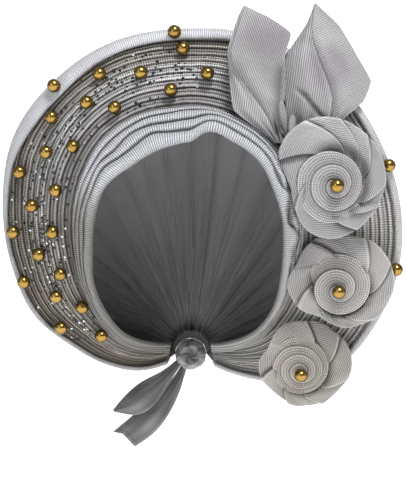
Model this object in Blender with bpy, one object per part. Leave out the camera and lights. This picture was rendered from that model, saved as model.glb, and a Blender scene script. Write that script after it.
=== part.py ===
"""A tied head wrap: a pleated fan round the face, with rosettes, leaves and gold beads.

Metres, +Z up, and the face opening looks along -Y. The origin is the centre of the head at
brow height, where the wrap grips it. Clock angles are seen from the front, in degrees: 0 is
+X and 90 is up. The wrap starts and ends at the two sides of the knot at the nape.
"""

import math
from typing import NamedTuple

import bmesh
import bpy
import numpy as np
from mathutils import Matrix, Vector
from mathutils.bvhtree import BVHTree

# Cloth, and the room left between pieces that touch
CLOTH = 0.0020
GAP = 0.0004

# The face opening and the band of folds round it
FACE_REACH = 0.066
CLOCK_CENTRE_Z = -0.024
FOREHEAD_Y = -0.078
NAPE_Y = 0.066
BAND_WIDTH = 0.024
BAND_DEPTH = 0.014
BAND_WALL = 0.0025
BAND_FOLD_HEIGHT = 0.0024
BAND_FOLDS = 4

# The pleated fan and the roll of cloth round its rim
FAN_WIDTH = 0.057
FAN_DEPTH = 0.026
FAN_WALL = 0.0030
FAN_DISH = 0.0042
FAN_TUCK = 0.0030
PLEATS = 12
PLEAT_HEIGHT = 0.0022
RIM_ROLL = 0.0072

# The knot at the nape and the cloth gathered into it
KNOT_RADIUS = 0.0125
KNOT_LENGTH = 0.036
KNOT_WAIST = 0.94
KNOT_ROOM = 0.0027
KNOT_BACK = 0.016
DRAPE_START = 0.012
DRAPE_FOLDS = 7
DRAPE_FOLD_HEIGHT = 0.0034

# Tie ends
TAIL_LENGTH = 0.062
TAIL_WIDTH = 0.026
TAIL_WALL = 0.0016

# Rosettes
ROSETTE_REACH = 0.036
ROSETTE_HEIGHT = 0.022
ROSETTE_FOOT = 0.012
ROSETTE_COILS = 3
COIL_DEPTH = 0.0024
PETALS = 5
PETAL_WAVE = 0.0012
PETAL_EDGE = 0.0022

# Leaves and beads
LEAF_LENGTH = 0.095
LEAF_WIDTH = 0.047
LEAF_WALL = 0.0016
LEAF_LEAN = 0.008
LEAF_TURN = 0.2
BEAD_DIAMETER = 0.0095

# Mesh fineness
WRAP_STATIONS = 42
BAND_STATIONS = 40
DRAPE_ROWS = 11
COIL_STATIONS = 20
BEAD_SIDES = 10
BEAD_RINGS = 5


class Section(NamedTuple):
    """The wrap at one clock angle: shares of FACE_REACH, BAND_WIDTH and FAN_WIDTH."""

    clock: float
    edge: float
    band: float
    fan: float


SECTIONS = (
    Section(-80, 1.28, 0.25, 0.20),
    Section(-70, 1.30, 0.27, 0.38),
    Section(-55, 1.30, 0.27, 0.71),
    Section(-40, 1.22, 0.23, 1.05),
    Section(-25, 1.10, 0.32, 1.21),
    Section(-8, 1.02, 0.45, 1.28),
    Section(10, 1.00, 0.49, 1.27),
    Section(28, 1.00, 0.61, 1.19),
    Section(45, 1.05, 0.55, 1.16),
    Section(65, 1.06, 0.61, 1.07),
    Section(80, 1.07, 0.64, 1.02),
    Section(88, 0.96, 0.95, 0.99),
    Section(95, 0.94, 0.98, 1.00),
    Section(112, 0.92, 1.08, 1.00),
    Section(130, 0.92, 1.08, 0.98),
    Section(150, 1.00, 0.70, 1.02),
    Section(170, 1.01, 0.59, 0.92),
    Section(190, 1.06, 0.47, 0.83),
    Section(208, 1.18, 0.30, 0.72),
    Section(222, 1.26, 0.29, 0.51),
    Section(236, 1.33, 0.30, 0.35),
    Section(250, 1.31, 0.27, 0.28),
    Section(260, 1.28, 0.25, 0.17),
)

# The two ends stand clear of the knot, so its radius sets how far round the wrap goes
HALF_TURN = 180 - math.degrees(
    math.asin((KNOT_RADIUS + KNOT_ROOM) / (FACE_REACH * SECTIONS[0].edge))
)
DEPTH_CURVE = 2.2


class Dish(NamedTuple):
    """How the fan's face stands off a flat cone: shares of its width and of FAN_DISH."""

    across: float
    rise: float


DISH = (
    Dish(0.0, 0.0),
    Dish(0.18, -0.9),
    Dish(0.5, 0.35),
    Dish(0.8, -0.5),
    Dish(1.0, 0.0),
)


class BeadRow(NamedTuple):
    """Beads along one line of the fan: their clock angles and shares of its width."""

    name: str
    clocks: tuple
    across: tuple


BEAD_ROWS = (
    BeadRow(
        "inner",
        (97.0, 119.9, 142.0, 160.5, 177.5, 195.3, 212.0, 226.8),
        (0.31, 0.31, 0.34, 0.36, 0.38, 0.39, 0.33, 0.42),
    ),
    BeadRow(
        "middle",
        (83.5, 106.4, 127.3, 149.3, 168.6, 186.3, 203.4),
        (0.46, 0.52, 0.51, 0.55, 0.60, 0.57, 0.53),
    ),
    BeadRow(
        "outer",
        (91.9, 118.9, 139.0, 159.0, 177.8, 194.2, 213.7),
        (0.77, 0.73, 0.72, 0.84, 0.91, 0.94, 0.83),
    ),
    BeadRow("rim", (-8.5, 19.9, 94.1, 131.7), (1.0, 1.0, 0.97, 0.96)),
)


class Rosette(NamedTuple):
    """A wound rosette: its place on the fan, and the reaches of its petals.

    spacing is the distance from the middle rosette, in shares of ROSETTE_REACH. The reaches
    are shares of ROSETTE_REACH at equal angles, counter-clockwise from +X.
    """

    name: str
    spacing: float
    across: float
    start_angle: float
    reaches: tuple


MIDDLE_CLOCK = -17.4
ROSETTES = (
    Rosette(
        "middle",
        0.0,
        0.475,
        200,
        (1.03, 1.10, 1.10, 1.00, 1.04, 0.93, 0.97, 0.84, 0.65, 0.70, 0.78, 0.92),
    ),
    Rosette(
        "top",
        2.12,
        0.40,
        20,
        (0.92, 0.99, 1.12, 1.24, 1.30, 1.20, 0.84, 0.86, 0.96, 1.00, 0.92, 0.88),
    ),
    Rosette(
        "bottom",
        -2.02,
        0.74,
        240,
        (0.99, 1.03, 1.02, 1.02, 0.92, 0.77, 0.86, 0.74, 0.62, 0.60, 0.63, 0.78),
    ),
)


class LeafRow(NamedTuple):
    """A level cut through a leaf, from the leaves' root.

    rise and forward are shares of LEAF_LENGTH, and the places of the left side, the crease
    and the right side are shares of LEAF_WIDTH. The crease stands forward.
    """

    rise: float
    left: float
    crease: float
    right: float
    forward: float


LEFT_LEAF = (
    LeafRow(0.00, -0.16, -0.10, -0.04, 0.03),
    LeafRow(0.09, -0.40, -0.18, -0.08, 0.05),
    LeafRow(0.22, -0.74, -0.34, -0.08, 0.08),
    LeafRow(0.38, -0.80, -0.58, -0.06, 0.09),
    LeafRow(0.52, -0.82, -0.74, -0.06, 0.07),
    LeafRow(0.64, -0.84, -0.74, -0.06, 0.06),
    LeafRow(0.79, -0.76, -0.60, 0.02, 0.05),
    LeafRow(0.90, -0.68, -0.56, -0.28, 0.03),
    LeafRow(0.97, -0.61, -0.59, -0.57, 0.01),
)
RIGHT_LEAF = (
    LeafRow(0.06, 0.08, 0.18, 0.28, 0.03),
    LeafRow(0.15, 0.04, 0.48, 0.72, 0.10),
    LeafRow(0.31, 0.02, 0.62, 1.10, 0.14),
    LeafRow(0.46, 0.01, 0.56, 1.22, 0.13),
    LeafRow(0.64, 0.02, 0.38, 1.02, 0.10),
    LeafRow(0.76, 0.14, 0.32, 0.88, 0.07),
    LeafRow(0.87, 0.28, 0.36, 0.74, 0.04),
    LeafRow(1.02, 0.40, 0.41, 0.42, 0.01),
)
LEAF_CLOCK = 43.0
LEAF_ACROSS = 0.19


class TailRow(NamedTuple):
    """A cut across a tie end: shares of TAIL_LENGTH from where it leaves the knot.

    half_width is a share of TAIL_WIDTH, and twist is in degrees from facing the front.
    """

    along: float
    out: float
    down: float
    forward: float
    half_width: float
    twist: float


UPPER_TAIL = (
    TailRow(0.0, 0.00, 0.00, 0.00, 0.28, -80),
    TailRow(0.25, 0.17, 0.18, 0.03, 0.34, -60),
    TailRow(0.5, 0.38, 0.36, 0.08, 0.42, -30),
    TailRow(0.75, 0.59, 0.50, 0.10, 0.34, -10),
    TailRow(1.0, 0.80, 0.60, 0.10, 0.05, 0),
)
LOWER_TAIL = (
    TailRow(0.0, 0.00, 0.00, 0.00, 0.28, -80),
    TailRow(0.25, 0.12, 0.24, -0.03, 0.34, -60),
    TailRow(0.5, 0.30, 0.49, -0.06, 0.38, -35),
    TailRow(0.75, 0.51, 0.71, -0.06, 0.42, -10),
    TailRow(1.0, 0.72, 0.87, -0.05, 0.40, 5),
)
UPPER_TAIL_ANGLE = 215
LOWER_TAIL_ANGLE = 243

SILVER = (0.56, 0.56, 0.60)
BRIGHT_SILVER = (0.70, 0.71, 0.77)
DEEP_SILVER = (0.46, 0.45, 0.48)
GOLD = (0.83, 0.58, 0.18)

FRONT = np.array((0.0, -1.0, 0.0))
BACK = -FRONT


def smooth(rows, key, column, at):
    """A column of a table at some value of its key, read off a smooth curve."""
    xs = np.array([getattr(row, key) for row in rows], float)
    ys = np.array([getattr(row, column) for row in rows], float)
    slopes = np.gradient(ys, xs)
    at = float(np.clip(at, xs[0], xs[-1]))
    i = int(np.clip(np.searchsorted(xs, at, side="right") - 1, 0, len(xs) - 2))
    step = xs[i + 1] - xs[i]
    t = (at - xs[i]) / step
    start = (1 + 2 * t) * (1 - t) ** 2 * ys[i] + t * (1 - t) ** 2 * step * slopes[i]
    end = t * t * (3 - 2 * t) * ys[i + 1] - t * t * (1 - t) * step * slopes[i + 1]
    return start + end


def unit(v):
    return v / np.linalg.norm(v)


def place(clock, reach, y):
    """The point at a clock angle, a reach from the clock's centre, and a depth."""
    a = math.radians(clock)
    return np.array((reach * math.cos(a), y, CLOCK_CENTRE_Z + reach * math.sin(a)))


def square_to(along):
    """The direction square to a section's run, on its front and outer side."""
    return np.array((along[1], -along[0]))


class Cut(NamedTuple):
    """The wrap cut at one clock angle: points and directions in its (reach, y) plane."""

    edge: np.ndarray
    join: np.ndarray
    rim: np.ndarray
    band_along: np.ndarray
    band_front: np.ndarray
    fan_start: np.ndarray
    fan_end: np.ndarray
    fan_along: np.ndarray
    fan_front: np.ndarray


def cut(clock):
    back = (abs(clock - 90) / HALF_TURN) ** DEPTH_CURVE
    edge_reach = smooth(SECTIONS, "clock", "edge", clock) * FACE_REACH
    join_reach = edge_reach + smooth(SECTIONS, "clock", "band", clock) * BAND_WIDTH
    rim_reach = join_reach + smooth(SECTIONS, "clock", "fan", clock) * FAN_WIDTH
    edge_y = FOREHEAD_Y + (NAPE_Y - FOREHEAD_Y) * back
    join_y = edge_y + BAND_DEPTH * (1 - 0.7 * back)
    rim_y = join_y + FAN_DEPTH * (1 - 0.9 * back)
    edge = np.array((edge_reach, edge_y))
    join = np.array((join_reach, join_y))
    rim = np.array((rim_reach, rim_y))
    band_along = unit(join - edge)
    band_front = square_to(band_along)
    under_band = join - band_front * (BAND_WALL + GAP)
    fan_along = unit(rim - under_band)
    return Cut(
        edge=edge,
        join=join,
        rim=rim,
        band_along=band_along,
        band_front=band_front,
        fan_start=under_band - fan_along * FAN_TUCK,
        fan_end=rim - fan_along * (CLOTH + GAP * 3),
        fan_along=fan_along,
        fan_front=square_to(fan_along),
    )


def fan_point(clock, across, above=0.0):
    """A point over the fan's crests, at a share of its width and a height above them."""
    c = cut(clock)
    rise = smooth(DISH, "across", "rise", across) * FAN_DISH + above
    reach, y = c.fan_start + (c.fan_end - c.fan_start) * across + c.fan_front * rise
    return place(clock, reach, y)


def fan_normal(clock, across):
    """The way the fan faces, square to its surface."""
    round_it = fan_point(clock + 1, across) - fan_point(clock - 1, across)
    out = fan_point(clock, min(across + 0.1, 1.0)) - fan_point(clock, max(across - 0.1, 0.0))
    return unit(np.cross(out, round_it))


def clocks(stations):
    return np.linspace(90 - HALF_TURN, 90 + HALF_TURN, stations + 1)


def knot_centre():
    """The middle of the knot, between the two ends of the band and just behind them."""
    end = cut(90 + HALF_TURN)
    low = place(90 + HALF_TURN, end.join[0], end.join[1])
    return np.array((0.0, end.rim[1] + KNOT_BACK, low[2] - KNOT_ROOM))


def material(name, colour, roughness=0.6, metallic=0.0):
    made = bpy.data.materials.new(name)
    made.use_nodes = True
    shader = made.node_tree.nodes["Principled BSDF"]
    shader.inputs["Base Color"].default_value = (*colour, 1.0)
    shader.inputs["Roughness"].default_value = roughness
    shader.inputs["Metallic"].default_value = metallic
    return made


def new_object(name, points, faces, finish):
    """A closed piece from points and faces, its faces turned to look outwards."""
    mesh = bpy.data.meshes.new(name)
    mesh.from_pydata([tuple(map(float, p)) for p in points], [], faces)
    shaped = bmesh.new()
    shaped.from_mesh(mesh)
    bmesh.ops.recalc_face_normals(shaped, faces=shaped.faces)
    if shaped.calc_volume(signed=True) < 0:
        bmesh.ops.reverse_faces(shaped, faces=shaped.faces)
    shaped.to_mesh(mesh)
    shaped.free()
    mesh.materials.append(finish)
    mesh.shade_smooth()
    mesh.set_sharp_from_angle(angle=math.radians(40))
    piece = bpy.data.objects.new(name, mesh)
    bpy.context.scene.collection.objects.link(piece)
    return piece


def strip(first, second, points):
    """Triangles between two runs of point numbers that may differ in count."""
    faces, i, j = [], 0, 0
    while i < len(first) - 1 or j < len(second) - 1:
        if i == len(first) - 1:
            step_first = False
        elif j == len(second) - 1:
            step_first = True
        else:
            by_first = np.linalg.norm(points[first[i + 1]] - points[second[j]])
            by_second = np.linalg.norm(points[first[i]] - points[second[j + 1]])
            step_first = by_first <= by_second
        if step_first:
            faces.append((first[i], first[i + 1], second[j]))
            i += 1
        else:
            faces.append((first[i], second[j + 1], second[j]))
            j += 1
    return faces


def swept(name, fronts, backs, finish):
    """A closed solid from cuts side by side, each a run of front points and one of back."""
    m, k = len(fronts[0]), len(backs[0])
    loop = m + k
    points = np.array([p for f, b in zip(fronts, backs) for p in (*f, *reversed(list(b)))])
    faces = []
    for i in range(len(fronts) - 1):
        here, there = i * loop, (i + 1) * loop
        for j in range(loop):
            n = (j + 1) % loop
            faces.append((here + j, here + n, there + n, there + j))
    for base in (0, (len(fronts) - 1) * loop):
        front_run = [base + j for j in range(m)]
        back_run = [base + loop - 1 - j for j in range(k)]
        faces += strip(front_run, back_run, points)
    return new_object(name, points, faces, finish)


def grid_normals(grid):
    """Unit normals of a grid of points, one for each point."""
    n = np.cross(np.gradient(grid, axis=0), np.gradient(grid, axis=1))
    return n / np.maximum(np.linalg.norm(n, axis=2, keepdims=True), 1e-12)


def face_band(finish):
    """The band of folds round the face: rounded outside, plain against the head."""
    rises = ((0.0, 0.0), (0.35, 1.0), (0.8, 0.75))
    fronts, backs = [], []
    for clock in clocks(BAND_STATIONS):
        c = cut(clock)
        run = c.join - c.edge
        front = [
            c.edge + run * (fold + share) / BAND_FOLDS + c.band_front * BAND_FOLD_HEIGHT * height
            for fold in range(BAND_FOLDS)
            for share, height in rises
        ]
        front.append(c.join)
        back = [c.edge + run * share - c.band_front * BAND_WALL for share in (0, 0.5, 1)]
        fronts.append([place(clock, *p) for p in front])
        backs.append([place(clock, *p) for p in back])
    return swept("face_band", fronts, backs, finish)


def pleated_fan(finish):
    """The fan: knife pleats in front, each a groove and a crest, and a plain back."""
    fronts, backs = [], []
    for clock in clocks(WRAP_STATIONS):
        front = []
        for pleat in range(PLEATS):
            front.append(fan_point(clock, pleat / PLEATS, -PLEAT_HEIGHT))
            front.append(fan_point(clock, (pleat + 0.4) / PLEATS))
        front.append(fan_point(clock, 1.0, -PLEAT_HEIGHT))
        fronts.append(front)
        backs.append(
            [fan_point(clock, share, -PLEAT_HEIGHT - FAN_WALL) for share in np.linspace(0, 1, 7)]
        )
    return swept("pleated_fan", fronts, backs, finish)


def rim_roll(clock):
    """The cloth's run over the fan's outer edge, from the end of the roll to the back."""
    c = cut(clock)
    runs = (
        (-RIM_ROLL, GAP + CLOTH),
        (-RIM_ROLL * 0.55, GAP + CLOTH * 1.35),
        (-RIM_ROLL * 0.18, GAP + CLOTH * 0.6),
        (0.0, -CLOTH * 0.6),
    )
    return [place(clock, *(c.rim + c.fan_along * a + c.fan_front * f)) for a, f in runs]


def round_knot(share, radius):
    """A point round the knot's waist, from its right side over the top to its left."""
    turn = math.pi * share
    return knot_centre() + np.array((radius * math.cos(turn), 0.0, radius * math.sin(turn)))


def drape_column(clock, share):
    """One line of the back drape: over the rim, back round the head, down to the knot."""
    c = cut(clock)
    start = place(clock, *(c.rim - c.fan_front * CLOTH * 1.6))
    end = round_knot(share, KNOT_RADIUS * KNOT_WAIST + GAP + CLOTH)
    chord = start - end
    swell = BACK * (np.linalg.norm(chord) + DRAPE_START)
    handles = (start, start + swell * 0.35, end + chord * 0.6 + swell * 0.52, end)
    column = rim_roll(clock)
    for u in np.linspace(0, 1, DRAPE_ROWS):
        weights = ((1 - u) ** 3, 3 * u * (1 - u) ** 2, 3 * u * u * (1 - u), u**3)
        column.append(sum(w * h for w, h in zip(weights, handles)))
    return column


def back_drape(finish):
    """The cloth from the rim over the crown to the knot, one wall with gathers."""
    shares = np.linspace(0, 1, WRAP_STATIONS + 1)
    outer = np.array([drape_column(c, s) for c, s in zip(clocks(WRAP_STATIONS), shares)])
    normals = grid_normals(outer)
    if normals[WRAP_STATIONS // 2, -DRAPE_ROWS // 2, 2] < 0:
        normals = -normals
    first = outer.shape[1] - DRAPE_ROWS
    for i, share in enumerate(shares):
        wave = math.cos(2 * math.pi * DRAPE_FOLDS * share) * math.sin(math.pi * share)
        for j in range(DRAPE_ROWS):
            depth = math.sin(math.pi * j / (DRAPE_ROWS - 1)) ** 1.5
            outer[i, first + j] += normals[i, first + j] * wave * depth * DRAPE_FOLD_HEIGHT
    normals = grid_normals(outer)
    if normals[WRAP_STATIONS // 2, -DRAPE_ROWS // 2, 2] < 0:
        normals = -normals
    inner = outer - normals * CLOTH
    inner[:, -1] = [round_knot(share, KNOT_RADIUS * KNOT_WAIST + GAP) for share in shares]
    return swept("back_drape", list(outer), list(inner), finish)


def nape_knot(finish):
    """The knot: a barrel lying front to back, with a waist and rounded ends."""
    waist = KNOT_WAIST
    profile = ((0.0, 0.62), (0.1, 0.92), (0.3, 1.0), (0.5, waist), (0.7, 1.0), (0.9, 0.9), (1.0, 0.58))
    sides = 14
    centre = knot_centre()
    points, faces = [], []
    for along, wide in profile:
        for k in range(sides):
            a = 2 * math.pi * k / sides
            across = np.array((math.cos(a), 0.0, math.sin(a))) * KNOT_RADIUS * wide
            points.append(centre + across + BACK * KNOT_LENGTH * (along - 0.5))
    for ring in range(len(profile) - 1):
        a, b = ring * sides, (ring + 1) * sides
        for k in range(sides):
            n = (k + 1) % sides
            faces.append((a + k, a + n, b + n, b + k))
    faces.append(tuple(range(sides)))
    faces.append(tuple(range(len(points) - sides, len(points))))
    return new_object("nape_knot", points, faces, finish)


def tail(name, rows, angle, finish):
    """A tie end: a strip of cloth that leaves the knot edge-on and turns to the front."""
    a = math.radians(angle)
    root = knot_centre() + np.array((math.cos(a), 0.0, math.sin(a))) * (KNOT_RADIUS + GAP)
    fronts, backs = [], []
    run = unit(np.array((-rows[-1].out, 0.0, -rows[-1].down)))
    level = np.cross(run, BACK)
    for along in np.linspace(0, 1, 9):
        out, down, forward, half, twist = (
            smooth(rows, "along", column, along)
            for column in ("out", "down", "forward", "half_width", "twist")
        )
        centre = root + np.array((-out, -forward, -down)) * TAIL_LENGTH
        turn = math.radians(twist)
        across = math.cos(turn) * level + math.sin(turn) * BACK
        square = np.cross(run, across)
        front, back = [], []
        for side in (-1.0, -0.4, 0.2, 1.0):
            ripple = math.sin(side * 2.6 + along * 2.0) * TAIL_WIDTH * 0.07 * along
            point = centre + across * side * half * TAIL_WIDTH + square * ripple
            front.append(point + square * TAIL_WALL / 2)
            back.append(point - square * TAIL_WALL / 2)
        fronts.append(front)
        backs.append(back)
    return swept(name, fronts, backs, finish)


def leaf(name, rows, finish):
    """A pointed end of cloth: a sheet folded down its length, with its crease forward."""
    root = fan_point(LEAF_CLOCK, LEAF_ACROSS)
    sides = ((0.0, 0.0), (0.5, 0.6), (1.0, 1.0), (1.5, 0.55), (2.0, 0.0))
    fronts, backs = [], []
    for rise in np.linspace(rows[0].rise, rows[-1].rise, 12):
        left, crease, right, forward = (
            smooth(rows, "rise", column, rise) for column in ("left", "crease", "right", "forward")
        )
        lean = BACK * LEAF_LEAN * rise
        level = root + np.array((0.0, 0.0, rise * LEAF_LENGTH)) + lean
        front, back = [], []
        for share, swell in sides:
            if share <= 1:
                x = left + (crease - left) * share
            else:
                x = crease + (right - crease) * (share - 1)
            x *= LEAF_WIDTH
            point = level + np.array((x, x * LEAF_TURN - forward * swell * LEAF_LENGTH, 0.0))
            front.append(point + FRONT * LEAF_WALL)
            back.append(point)
        fronts.append(front)
        backs.append(back)
    return swept(name, fronts, backs, finish)


def petal_reach(reaches, turn):
    """The rosette's outline at an angle in turns, read smoothly off its petals' reaches."""
    count = len(reaches)
    at = (turn % 1.0) * count
    i = int(at)
    t = at - i
    before, here, ahead, after = (reaches[(i + k) % count] for k in (-1, 0, 1, 2))
    bend = 2 * before - 5 * here + 4 * ahead - after
    twist = 3 * (here - ahead) + after - before
    return here + 0.5 * t * (ahead - before + t * (bend + t * twist))


def rosette(row, finish):
    """A wound rosette, face up at the origin: one spiral coil, highest at its centre.

    Its coil runs out to the petals' outline and follows it once round, getting narrower,
    so that the coil's two sides close on each other.
    """
    last = COIL_STATIONS * (ROSETTE_COILS + 1)
    outline = COIL_STATIONS * ROSETTE_COILS
    start_turn = row.start_angle / 360

    def seam_radius(turn, share):
        return ROSETTE_REACH * share * (1 + (petal_reach(row.reaches, turn) - 1) * share**2)

    def on_top(radius, turn, share, below):
        a = 2 * math.pi * turn
        height = ROSETTE_HEIGHT * (1 - 0.35 * share**2) - below
        height += PETAL_WAVE * math.cos(PETALS * a) * share**4
        return np.array((radius * math.cos(a), radius * math.sin(a), height))

    points = [np.array((0.0, 0.0, ROSETTE_HEIGHT - COIL_DEPTH))]
    seams, crests, inner_seams = [0], [0], [0]
    for k in range(1, last):
        turn = k / COIL_STATIONS + start_turn
        share = min(1.0, k / outline)
        inner_share = max(0.0, (k - COIL_STATIONS) / outline)
        radius = seam_radius(turn, share)
        inner = seam_radius(turn, inner_share)
        crest_share = inner_share + (share - inner_share) * 0.62
        crests.append(len(points))
        points.append(on_top(inner + (radius - inner) * 0.62, turn, crest_share, 0.0))
        seams.append(len(points))
        points.append(on_top(radius, turn, share, COIL_DEPTH))
        inner_seams.append(seams[max(0, k - COIL_STATIONS)])
    faces = [(0, seams[1], crests[1])]
    for k in range(1, last - 1):
        n = k + 1
        if inner_seams[k] == inner_seams[n]:
            faces.append((inner_seams[k], crests[k], crests[n]))
        else:
            faces.append((inner_seams[k], crests[k], crests[n], inner_seams[n]))
        faces.append((crests[k], seams[k], seams[n], crests[n]))
    faces.append((inner_seams[-1], crests[-1], seams[outline]))
    faces.append((crests[-1], seams[-1], seams[outline]))

    edge = seams[outline:]
    under = list(range(len(points), len(points) + COIL_STATIONS))
    foot = list(range(len(points) + COIL_STATIONS, len(points) + COIL_STATIONS * 2))
    points += [points[n] * (0.96, 0.96, 1.0) - (0.0, 0.0, PETAL_EDGE) for n in edge]
    points += [np.array((*unit(points[n][:2]) * ROSETTE_FOOT, 0.0)) for n in edge]
    for upper, lower in ((edge, under), (under, foot)):
        for k in range(COIL_STATIONS):
            n = (k + 1) % COIL_STATIONS
            faces.append((upper[k], lower[k], lower[n], upper[n]))
    faces.append(tuple(foot))
    return new_object(f"rosette_{row.name}", points, faces, finish)


def bead(name, finish):
    mesh = bpy.data.meshes.new(name)
    ball = bmesh.new()
    bmesh.ops.create_uvsphere(
        ball, u_segments=BEAD_SIDES, v_segments=BEAD_RINGS, radius=BEAD_DIAMETER / 2
    )
    ball.to_mesh(mesh)
    ball.free()
    mesh.materials.append(finish)
    mesh.shade_smooth()
    piece = bpy.data.objects.new(name, mesh)
    bpy.context.scene.collection.objects.link(piece)
    return piece


def stand(piece, at, facing):
    """Puts a piece at a point, with its +Z facing a direction and its +X kept level."""
    z = unit(facing)
    x = unit(np.array((1.0, 0.0, 0.0)) - z * z[0])
    y = np.cross(z, x)
    turn = Matrix(np.array((x, y, z)).T.tolist()).to_4x4()
    piece.data.transform(Matrix.Translation(Vector(at)) @ turn)


def probes(piece):
    """Points spread over a piece: its corners, its edges' middles and its faces' middles."""
    mesh = piece.data
    corners = [v.co.copy() for v in mesh.vertices]
    middles = [(corners[e.vertices[0]] + corners[e.vertices[1]]) / 2 for e in mesh.edges]
    return corners + middles + [p.center.copy() for p in mesh.polygons]


def tree_of(piece):
    mesh = piece.data
    mesh.calc_loop_triangles()
    points = [v.co.copy() for v in mesh.vertices]
    return BVHTree.FromPolygons(points, [tuple(t.vertices) for t in mesh.loop_triangles])


def seat(piece, carriers, towards):
    """Moves a piece along a direction until it lies GAP from the first thing it meets."""
    way = Vector(towards).normalized()
    mine = probes(piece)
    middle = sum(mine, Vector()) / len(mine)
    reach = max((p - middle).length for p in mine)
    own = tree_of(piece)
    grounds = [tree_of(carrier) for carrier in carriers]
    room = []
    for carrier, ground in zip(carriers, grounds):
        for p in mine:
            hit = ground.ray_cast(p, way)
            if hit[0] is not None:
                room.append(hit[3])
        for p in probes(carrier):
            off = p - middle
            if (off - way * off.dot(way)).length < reach:
                hit = own.ray_cast(p, -way)
                if hit[0] is not None:
                    room.append(hit[3])
    if not room:
        return
    piece.data.transform(Matrix.Translation(way * (min(room) - GAP)))
    while any(tree_of(piece).overlap(ground) for ground in grounds):
        piece.data.transform(Matrix.Translation(-way * GAP))


def rosette_clock(row):
    """The clock angle at which a rosette stands its spacing away from the middle one."""
    home = fan_point(MIDDLE_CLOCK, ROSETTES[0].across)
    near, far = 0.0, 90.0
    for _ in range(30):
        step = (near + far) / 2
        at = fan_point(MIDDLE_CLOCK + math.copysign(step, row.spacing), row.across)
        if np.linalg.norm(at - home) < abs(row.spacing) * ROSETTE_REACH:
            near = step
        else:
            far = step
    return MIDDLE_CLOCK + math.copysign(near, row.spacing)


def build():
    for old in list(bpy.data.objects):
        bpy.data.objects.remove(old)

    band = face_band(material("band_cloth", BRIGHT_SILVER))
    fan = pleated_fan(material("fan_cloth", DEEP_SILVER))
    drape = back_drape(material("drape_cloth", SILVER))
    knot = nape_knot(material("knot_cloth", SILVER))
    tails = (
        ("tail_upper", UPPER_TAIL, UPPER_TAIL_ANGLE),
        ("tail_lower", LOWER_TAIL, LOWER_TAIL_ANGLE),
    )
    for name, rows, angle in tails:
        a = math.radians(angle)
        outward = Vector((math.cos(a), 0.0, math.sin(a)))
        piece = tail(name, rows, angle, material(f"{name}_cloth", SILVER))
        piece.data.transform(Matrix.Translation(outward * KNOT_RADIUS))
        seat(piece, (knot,), -outward)

    carriers = [band, fan, drape]
    for name, rows in (("leaf_left", LEFT_LEAF), ("leaf_right", RIGHT_LEAF)):
        piece = leaf(name, rows, material(f"{name}_cloth", SILVER))
        piece.data.transform(Matrix.Translation(Vector(FRONT * LEAF_LENGTH)))
        seat(piece, carriers, BACK)
        carriers.append(piece)

    gold = material("bead_gold", GOLD, roughness=0.2, metallic=1.0)
    for row in ROSETTES:
        clock = rosette_clock(row) if row.spacing else MIDDLE_CLOCK
        facing = unit(fan_normal(clock, row.across) + FRONT)
        at = fan_point(clock, row.across)
        piece = rosette(row, material(f"rosette_{row.name}_cloth", SILVER))
        stand(piece, at + facing * ROSETTE_REACH * 2, facing)
        seat(piece, carriers, -facing)
        carriers.append(piece)
        middle_bead = bead(f"bead_rosette_{row.name}", gold)
        stand(middle_bead, at + facing * ROSETTE_REACH * 4, facing)
        seat(middle_bead, (piece,), -facing)

    for row in BEAD_ROWS:
        for number, (clock, across) in enumerate(zip(row.clocks, row.across), start=1):
            facing = fan_normal(clock, across)
            piece = bead(f"bead_{row.name}_{number}", gold)
            stand(piece, fan_point(clock, across) + facing * BEAD_DIAMETER * 2, facing)
            seat(piece, (band, fan, drape), -facing)


build()
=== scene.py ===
# %% [markdown]
# # A tied head wrap in corded silver cloth
#
# The wrap is one long stiff cloth, pleated and tied into a fan round the face. This lesson
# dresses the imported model: every soft piece gets its real folds, its weave and its beads.
# Everything is in metres, +Z is up, and the face opening looks along -Y.

# %% Load the model
import math
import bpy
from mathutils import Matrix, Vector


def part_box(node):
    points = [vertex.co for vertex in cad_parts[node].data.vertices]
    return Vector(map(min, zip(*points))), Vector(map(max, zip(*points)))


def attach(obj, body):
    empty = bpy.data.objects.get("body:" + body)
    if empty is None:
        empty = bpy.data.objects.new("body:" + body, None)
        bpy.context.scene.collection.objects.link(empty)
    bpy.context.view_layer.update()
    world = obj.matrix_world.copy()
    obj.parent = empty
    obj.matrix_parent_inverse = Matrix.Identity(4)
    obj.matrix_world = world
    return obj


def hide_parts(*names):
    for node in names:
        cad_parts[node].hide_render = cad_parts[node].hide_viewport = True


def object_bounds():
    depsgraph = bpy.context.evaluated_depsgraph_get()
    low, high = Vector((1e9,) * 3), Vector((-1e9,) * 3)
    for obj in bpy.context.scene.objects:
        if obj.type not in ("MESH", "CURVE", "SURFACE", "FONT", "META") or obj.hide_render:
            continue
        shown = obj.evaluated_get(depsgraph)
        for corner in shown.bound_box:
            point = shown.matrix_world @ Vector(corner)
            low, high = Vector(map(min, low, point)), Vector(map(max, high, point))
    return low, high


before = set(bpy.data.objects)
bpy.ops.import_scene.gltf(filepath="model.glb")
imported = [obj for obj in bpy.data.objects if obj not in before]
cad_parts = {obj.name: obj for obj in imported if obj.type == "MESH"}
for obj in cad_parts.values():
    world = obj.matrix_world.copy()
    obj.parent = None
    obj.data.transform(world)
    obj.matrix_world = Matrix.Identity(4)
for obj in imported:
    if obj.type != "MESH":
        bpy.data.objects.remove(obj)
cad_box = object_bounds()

from types import SimpleNamespace

import bmesh
import bpy
import numpy as np
from mathutils import Vector

print("nodes:", len(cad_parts), "model box:", [tuple(round(v, 3) for v in c) for c in cad_box])

# %% [markdown]
# ## The camera
#
# The picture is taken straight on, from a little under a metre away. The lens follows from the
# height that the picture covers at the wrap's own distance.

# %% Camera
VIEW_DISTANCE = 0.900
VIEW_HEIGHT = 0.33184
SENSOR = 36.0

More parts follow.
